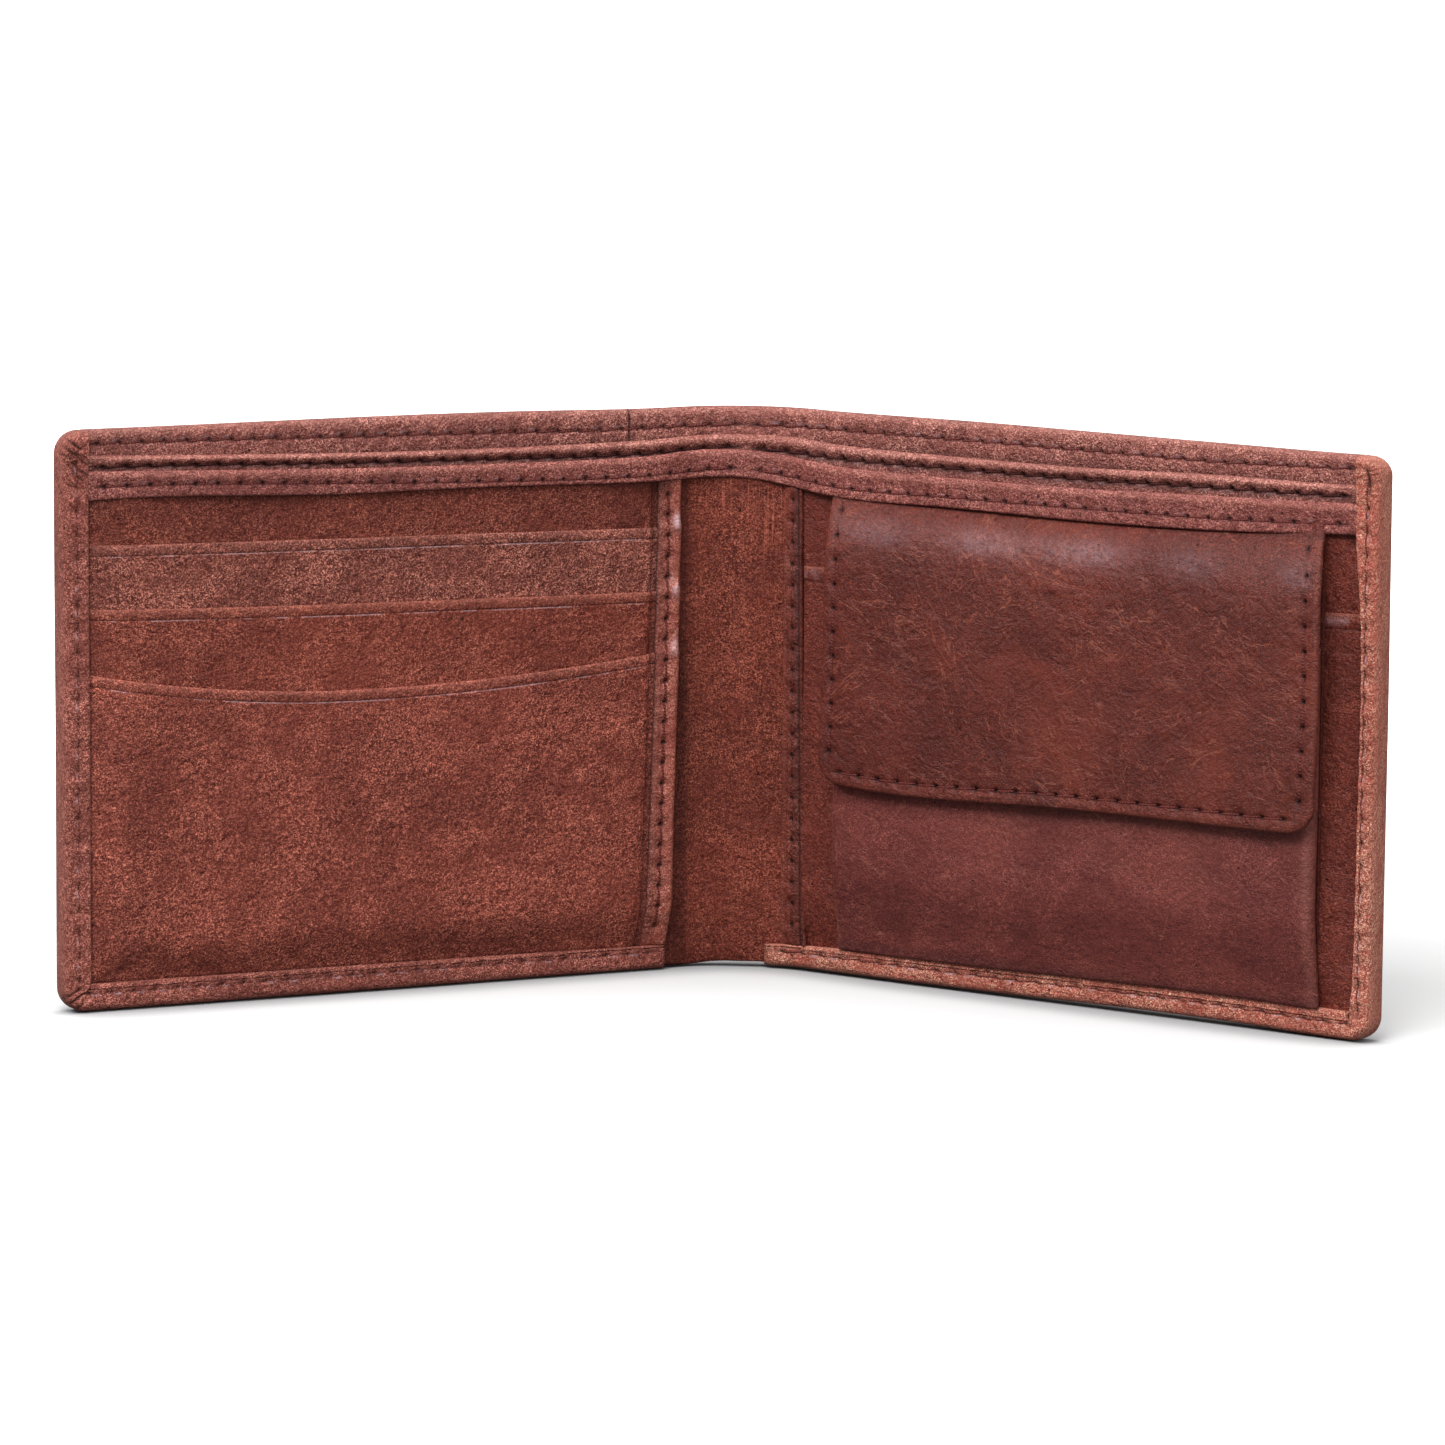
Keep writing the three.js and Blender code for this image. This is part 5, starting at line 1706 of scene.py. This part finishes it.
ob = panel("coin_pocket_back", "base_r", RIGHT, (COIN_START + 0.2, COIN_END - 0.2), (5.4, 72.5),
           2.5, coin_back_depth, 0.5)
place(ob, "right_half", "base_leather", "coin_pocket_back")
coin_front()
coin_gusset()

# ---------------------------------------------------------------- flap over the coin pocket
FLAP_START, FLAP_END = HALF_SPINE + 10.1, HALF_SPINE + 101.3
FLAP_WIDTH = FLAP_END - FLAP_START
FLAP_LOW, FLAP_TOP = 31.6, 79.6
FLAP_CORNER = 4.4
FLAP_STITCH = 2.15             # stitch line from the flap's edge
FLAP_STITCH_END = FLAP_STITCH + 0.3    # the same at its outer side
SNAP_X, SNAP_Z = HALF_SPINE + 56.5, 39.5
# offsets of its side edges: (z, offset)
flap_near = curve((31, 0.1), (39, 0.6), (50, 1.1), (61, 1.4), (70, 1.3), (75, 0.8), (77, 0.1),
                  (80, 0.0))
flap_far = curve((31, -0.5), (45, -0.1), (56, 0.1), (68, 0.0), (73, -0.4), (76, -1.4),
                 (77.5, -1.7), (80, -1.7))
# offset of its lower edge: (x, offset)
flap_drop = curve((FLAP_START, 0.3), (FLAP_START + 15, -0.5), (FLAP_START + 48, 0.25),
                  (FLAP_END - 8, 0.2), (FLAP_END, 0.3))
# its face from the shoulder down: (distance below z 77.2, depth)
flap_profile = curve((-3, 5.8), (-0.4, 5.95), (0.6, 6.5), (2.0, 7.8), (4.2, 9.25), (7, 10.3),
                     (10, 10.8), (14, 10.95), (24, 10.95), (36, 10.85), (46, 10.65))
# folds: (from the fold line a, z a, from the fold line b, z b, depth, half width)
FLAP_FOLDS = (
    (45.5, 73.6, 49.5, 68.6, .16, .5), (47, 71.6, 62, 68.2, .17, .45),
    (48.5, 70.2, 66, 66.0, .15, .5), (50, 71.8, 70, 69.6, .10, .45),
    (46, 69.4, 56, 63.0, .10, .6), (14, 66, 19, 55, .08, .7), (20, 70, 27, 60.5, .07, .6),
    (78, 72, 90, 66.5, .07, .6), (84, 62, 97, 60.5, .06, .6), (85, 59, 98, 58.5, .06, .6),
    (22, 52, 44, 60, .05, .6), (30, 50, 50, 57, .05, .6),
)
LOW_HOLES = holes(FLAP_START + 3.0, FLAP_END - 3.6)
SIDE_HOLES = holes(35.0, 77.0)


def flap_sides(z):
    return FLAP_START + flap_near(z), FLAP_END + flap_far(z)


def flap_low(x):
    return FLAP_LOW + flap_drop(x)


def flap_face(x, z):
    down = 77.2 - z
    part = unit((x - FLAP_START) / FLAP_WIDTH)
    side_drop = 0.55 * (bell(part, 0.05) + bell(1 - part, 0.05)) * smooth(down / 8)
    soft = (0.20 * ripple(x, z, 34, 101) + 0.09 * ripple(x, z, 13, 102)) * smooth(down / 6)
    creases = 0
    rng = np.random.default_rng(5)
    for _ in range(16):          # creases that run down from the bend
        centre, width = rng.uniform(FLAP_START + 6, FLAP_END - 6), rng.uniform(0.5, 1.3)
        deep, slope = rng.uniform(0.05, 0.16), rng.uniform(-0.7, 0.7)
        middle, reach = rng.uniform(64, 73), rng.uniform(2.5, 6)
        creases = creases + (deep * bell(x - centre - slope * (z - middle), width)
                             * bell(z - middle, reach))
    for x_a, z_a, x_b, z_b, deep, wide in FLAP_FOLDS:
        part, aside = along_line(x, z, HALF_SPINE + x_a, z_a, HALF_SPINE + x_b, z_b)
        aside = aside - 0.9 * np.sin(math.pi * unit(part))
        creases = creases + (deep * bell(aside, wide) * smooth((part + 0.1) / 0.2)
                             * smooth((1.1 - part) / 0.35))
    return flap_profile(down) - side_drop + soft - creases


def flap_lines():
    """Grid lines across the flap and up from its lower edge."""
    rim = (0, 0.05, 0.16, 0.34, 0.6, 0.95, 1.3)
    steps = (-1.0,) + SEAM_STEPS + (1.0,)
    cols = set(np.round(np.linspace(0, FLAP_WIDTH, 74), 3))
    cols |= {round(e, 3) for e in rim} | {round(FLAP_WIDTH - e, 3) for e in rim}
    cols |= {round(FLAP_STITCH + s, 3) for s in steps}
    cols |= {round(FLAP_WIDTH - (FLAP_STITCH_END + s), 3) for s in steps}
    cols |= {round(h - FLAP_START, 3) for h in hole_lines(LOW_HOLES)}
    cols = thinned(sorted(c for c in cols if 0 <= c <= FLAP_WIDTH), 0.04)
    cols[-1] = FLAP_WIDTH
    rows = set(np.round(np.linspace(0, 48, 44), 3)) | {round(e, 3) for e in rim}
    rows |= {round(FLAP_STITCH + s, 3) for s in steps}
    rows |= {round(h - FLAP_LOW, 3) for h in hole_lines(SIDE_HOLES)}
    rows |= {44.6, 45.0, 45.4, 45.8, 46.3, 47, 48, 0.4, 0.8, 1.2, 1.8, 2.5, 3.2, 4.0, 4.8}
    rows = thinned(sorted(r for r in rows if 0 <= r <= 48), 0.04)
    return np.array(cols), np.array(rows)


def flap_warp(col, row):
    """col runs across the flap, row up from its lower edge."""
    cut = corner_cut(np.clip(FLAP_CORNER - row, 0, FLAP_CORNER), FLAP_CORNER)
    near, far = flap_sides(FLAP_LOW + row)
    near, far = near + cut, far - cut
    x = near + (far - near) * col / FLAP_WIDTH
    low = flap_low(x)
    return x, low + row * (FLAP_TOP - low) / (FLAP_TOP - FLAP_LOW)


def flap_dist(x, z, col, row):
    near, far = flap_sides(FLAP_LOW + row)
    gap = least(x - near, far - x, row)
    for inward in (x - near, far - x):
        corner = (inward < FLAP_CORNER) & (row < FLAP_CORNER)
        rounded = FLAP_CORNER - np.hypot(FLAP_CORNER - inward, FLAP_CORNER - row)
        gap = np.where(corner, rounded, gap)
    gap = np.where((col <= 0) | (col >= FLAP_WIDTH) | (row <= 0), 0, np.maximum(gap, 0))
    return np.minimum(gap, FLAP_TOP - z)


def flap_seams(x, z, row):
    """(along, offset, holes, hole depth, hole darkness) of the three stitched lines."""
    near, far = flap_sides(FLAP_LOW + row)
    return ((x, row - FLAP_STITCH, LOW_HOLES, 0.42, 2.3),
            (z, x - near - FLAP_STITCH, SIDE_HOLES, 0.40, 2.0),
            (z, far - x - FLAP_STITCH_END, SIDE_HOLES, 0.40, 2.0))


def flap_relief(x, z, col, row):
    return least(*(seam_dent(along, offset, spots, deep=0.17, hole=hole, pucker=0.10)
                   for along, offset, spots, hole, _ in flap_seams(x, z, row)))


def flap_depth(x, z, col, row):
    rim = bell(flap_dist(x, z, col, row) - 1.0, 0.6) * smooth((77.0 - z) / 3)
    return flap_face(x, z) + 0.10 * rim


def flap_mask(x, z, col, row, edge):
    dark = np.maximum.reduce([seam_dark(along, offset, spots, dot=dot)
                              for along, offset, spots, _, dot in flap_seams(x, z, row)])
    # painted sheen along the bend of the shoulder
    shoulder = 72.4 - 0.012 * (x - FLAP_START)
    painted_sheen = np.clip(0.15 + 0.20 * ripple(x, z * 0.3, 24, 77), 0.02, 0.4)
    # wear and painted highlight near the edge; stitch lines and painted shade under the band; the
    # painted sheen goes in the glint channel
    return dict(worn=0.16 * bell(edge - 0.45, 0.4) * (z < 77),
                dark=dark + 0.45 * bell(z - 77.0, 0.5),
                glint=(painted_sheen * np.exp(-(np.abs(z - shoulder) / 1.9) ** 2.4)
                       * smooth((edge - 0.6) / 2.0)))


def flap():
    hinge = tuple(world(SNAP_X, 6.0, 76.9))
    motion = ("right_half", "coin_flap", hinge, (hinge[0], hinge[1], 0.0675))
    ob = sheet("coin_flap", "flap", RIGHT, *flap_lines(), flap_depth, 1.15, flap_dist, flap_mask,
               flap_warp, rim=0.55, relief=flap_relief)
    place(ob, motion, "flap_leather", "coin_flap_leather", "coin_flap_tab")

    def thread_at(x, z):
        return hole_at(x, z, flap_face(x, z) - 0.12)
    runs = [[thread_at(x, flap_low(x) + FLAP_STITCH) for x in LOW_HOLES],
            [thread_at(flap_sides(z)[0] + FLAP_STITCH, z) for z in SIDE_HOLES],
            [thread_at(flap_sides(z)[1] - FLAP_STITCH_END, z) for z in SIDE_HOLES]]
    ob = stitches("thread_flap", "thread", runs, radius=0.19, lift=0.02, sag=0.3, slant=0.1)
    place(ob, motion, "thread", "thread_flap")
    ob = panel("coin_flap_lining", "lining", RIGHT, (1.0, FLAP_WIDTH - 1.0), (1.0, 42.5), 2.0,
               lambda x, z, *_: flap_face(x, z) - 1.2, 0.4, warp=flap_warp)
    place(ob, motion, "pocket_fabric", "coin_flap_lining")


flap()

# ---------------------------------------------------------------- snap
# turned profiles: (radius, depth from the base)
STUD = ((0.0, 0), (5.4, 0), (5.5, 0.1), (5.5, 0.3), (5.35, 0.45), (4.9, 0.5), (3.4, 0.42),
        (3.0, 0.4), (2.5, 0.5), (2.35, 0.75), (2.5, 1.0), (2.45, 1.15), (2.2, 1.27),
        (1.2, 1.32), (0.0, 1.33))
SOCKET = ((3.0, -0.05), (5.0, -0.05), (5.45, -0.12), (5.5, -0.25), (5.4, -0.4), (4.9, -0.55),
          (4.2, -0.62), (3.6, -0.6), (3.1, -0.5), (2.95, -0.3))


def snap_part(name, profile, base, body):
    verts, faces = [], []
    count, points = 40, len(profile)
    for i in range(count):
        turn = 2 * math.pi * i / count
        for radius, rise in profile:
            verts.append(world(SNAP_X + radius * math.cos(turn), base + rise,
                               SNAP_Z + radius * math.sin(turn)))
        k = (i + 1) % count
        for j in range(points):
            n = (j + 1) % points
            faces.append([i * points + j, i * points + n, k * points + n, k * points + j])
    ob = make(name, np.array(verts), faces, "metal")
    tidy(ob)
    place(ob, body, "snap_steel", name)


snap_part("snap_stud", STUD, pocket_face(SNAP_X, SNAP_Z) - 0.15, "coin_front")
snap_part("snap_socket", SOCKET, flap_face(SNAP_X, SNAP_Z) - 1.5, "coin_flap")


# ---------------------------------------------------------------- stage, light and camera
def grey(level):
    return (level, level, level)


def floor_material():
    """Pale floor, greyer near the wallet so that its shadows show, with a painted contact shadow from
    ambient occlusion, fading to white; darker to all but camera rays.
    """
    shader = Shader("pale_floor")
    mix = shader.mix

    def here():
        return shader.node("ShaderNodeTexCoord", {}).outputs["Object"]
    cloud = shader.noise(here(), scale=6.0, detail=3)
    camera_ray = shader.node("ShaderNodeLightPath", {}).outputs["Is Camera Ray"]
    far = shader.node("ShaderNodeVectorMath", {0: here()}, operation="LENGTH").outputs["Value"]
    far = shader.ramp(far, 0.13, 0.34)
    # painted contact shadow: darker where ambient occlusion finds the wallet near
    open_ = shader.node("ShaderNodeAmbientOcclusion", {"Distance": 0.010}, samples=8).outputs["AO"]
    open_ = shader.ramp(open_, 0.42, 0.98)
    near_colour = mix(open_, (0.34, 0.34, 0.345), mix(cloud, grey(0.58), grey(0.60)))
    colour = mix(camera_ray, mix(cloud, grey(0.15), grey(0.17)),
                 mix(far, near_colour, grey(0.98)))
    inputs = {"Base Color": colour, "Emission Color": grey(1.0),
              "Emission Strength": shader.mul(shader.mul(far, camera_ray), 0.7),
              "Roughness": 0.9, "Specular IOR Level": 0.0}
    for key, value in inputs.items():
        shader.put(shader.bsdf.inputs[key], value)
    return shader.mat


def add_floor():
    material = floor_material()
    mesh = bpy.data.meshes.new("floor")
    half = 20.0
    mesh.from_pydata([(-half, -half, 0), (half, -half, 0), (half, half, 0), (-half, half, 0)],
                     [], [(0, 1, 2, 3)])
    mesh.materials.append(material)
    floor = bpy.data.objects.new("floor", mesh)
    bpy.context.scene.collection.objects.link(floor)
    floor.location.z = -0.0002


def add_world():
    """A soft dome, brightest overhead; the camera itself sees plain white."""
    studio = bpy.data.worlds.new("studio")
    bpy.context.scene.world = studio
    studio.use_nodes = True
    nodes, links = studio.node_tree.nodes, studio.node_tree.links
    background = nodes["Background"]
    place_ = nodes.new("ShaderNodeTexCoord")
    split = nodes.new("ShaderNodeSeparateXYZ")
    links.new(place_.outputs["Generated"], split.inputs[0])
    dome = nodes.new("ShaderNodeMapRange")
    dome.interpolation_type = "SMOOTHSTEP"
    links.new(split.outputs[2], dome.inputs["Value"])
    strengths = {"From Min": 0.0, "From Max": 1.0, "To Min": 0.14, "To Max": 1.45}
    for key, value in strengths.items():
        dome.inputs[key].default_value = value
    path = nodes.new("ShaderNodeLightPath")
    choice = nodes.new("ShaderNodeMix")
    links.new(path.outputs["Is Camera Ray"], choice.inputs[0])
    links.new(dome.outputs[0], choice.inputs[2])
    choice.inputs[3].default_value = 1.0
    links.new(choice.outputs[0], background.inputs[1])
    background.inputs[0].default_value = (1.0, 1.0, 1.0, 1)


def area_light(name, loc, target, size, power, color=(1, 1, 1)):
    light = bpy.data.lights.new(name, "AREA")
    light.shape = "RECTANGLE"
    light.size = light.size_y = size
    light.energy = power
    light.color = color
    ob = bpy.data.objects.new(name, light)
    bpy.context.scene.collection.objects.link(ob)
    ob.location = loc
    ob.rotation_euler = (Vector(target) - Vector(loc)).to_track_quat("-Z", "Y").to_euler()


def add_camera():
    """Looks at the inside from the front, slightly from the right and above."""
    camera = bpy.data.cameras.new("camera")
    ob = bpy.data.objects.new("camera", camera)
    bpy.context.scene.collection.objects.link(ob)
    azimuth, elevation, roll = math.radians(4.69), math.radians(8.15), math.radians(0.45)
    forward = Vector((-math.sin(azimuth) * math.cos(elevation),
                      math.cos(azimuth) * math.cos(elevation), -math.sin(elevation)))
    level = forward.cross(Vector((0, 0, 1))).normalized()
    upright = level.cross(forward).normalized()
    right = level * math.cos(roll) + upright * math.sin(roll)
    up = upright * math.cos(roll) - level * math.sin(roll)
    matrix = Matrix((right, up, -forward)).transposed().to_4x4()
    matrix.translation = Vector((0.08735, -1.11184 + (FOLD_Y + 6.06) / 1000, 0.19841))
    ob.matrix_world = matrix
    camera.sensor_width = 36.0
    camera.lens = 174.394464
    camera.clip_start = 0.01
    camera.clip_end = 100
    bpy.context.scene.camera = ob


add_floor()
add_world()
area_light("key", loc=(-0.22, -0.72, 0.95), target=(0, 0, 0.04), size=0.6, power=13.0)
area_light("fill", loc=(0.75, -0.9, 0.45), target=(0, 0, 0.04), size=0.5, power=3.2)
area_light("top", loc=(0.0, 0.15, 0.85), target=(0, 0, 0.06), size=0.6, power=2.2)
area_light("left_box", loc=(-0.68, -0.33, 0.66), target=(0.04, 0, 0.06), size=0.26, power=3.6,
           color=(0.93, 0.96, 1.0))
add_camera()
view = bpy.context.scene.view_settings
view.view_transform = "Standard"
view.look = "None"
view.exposure = 0.0
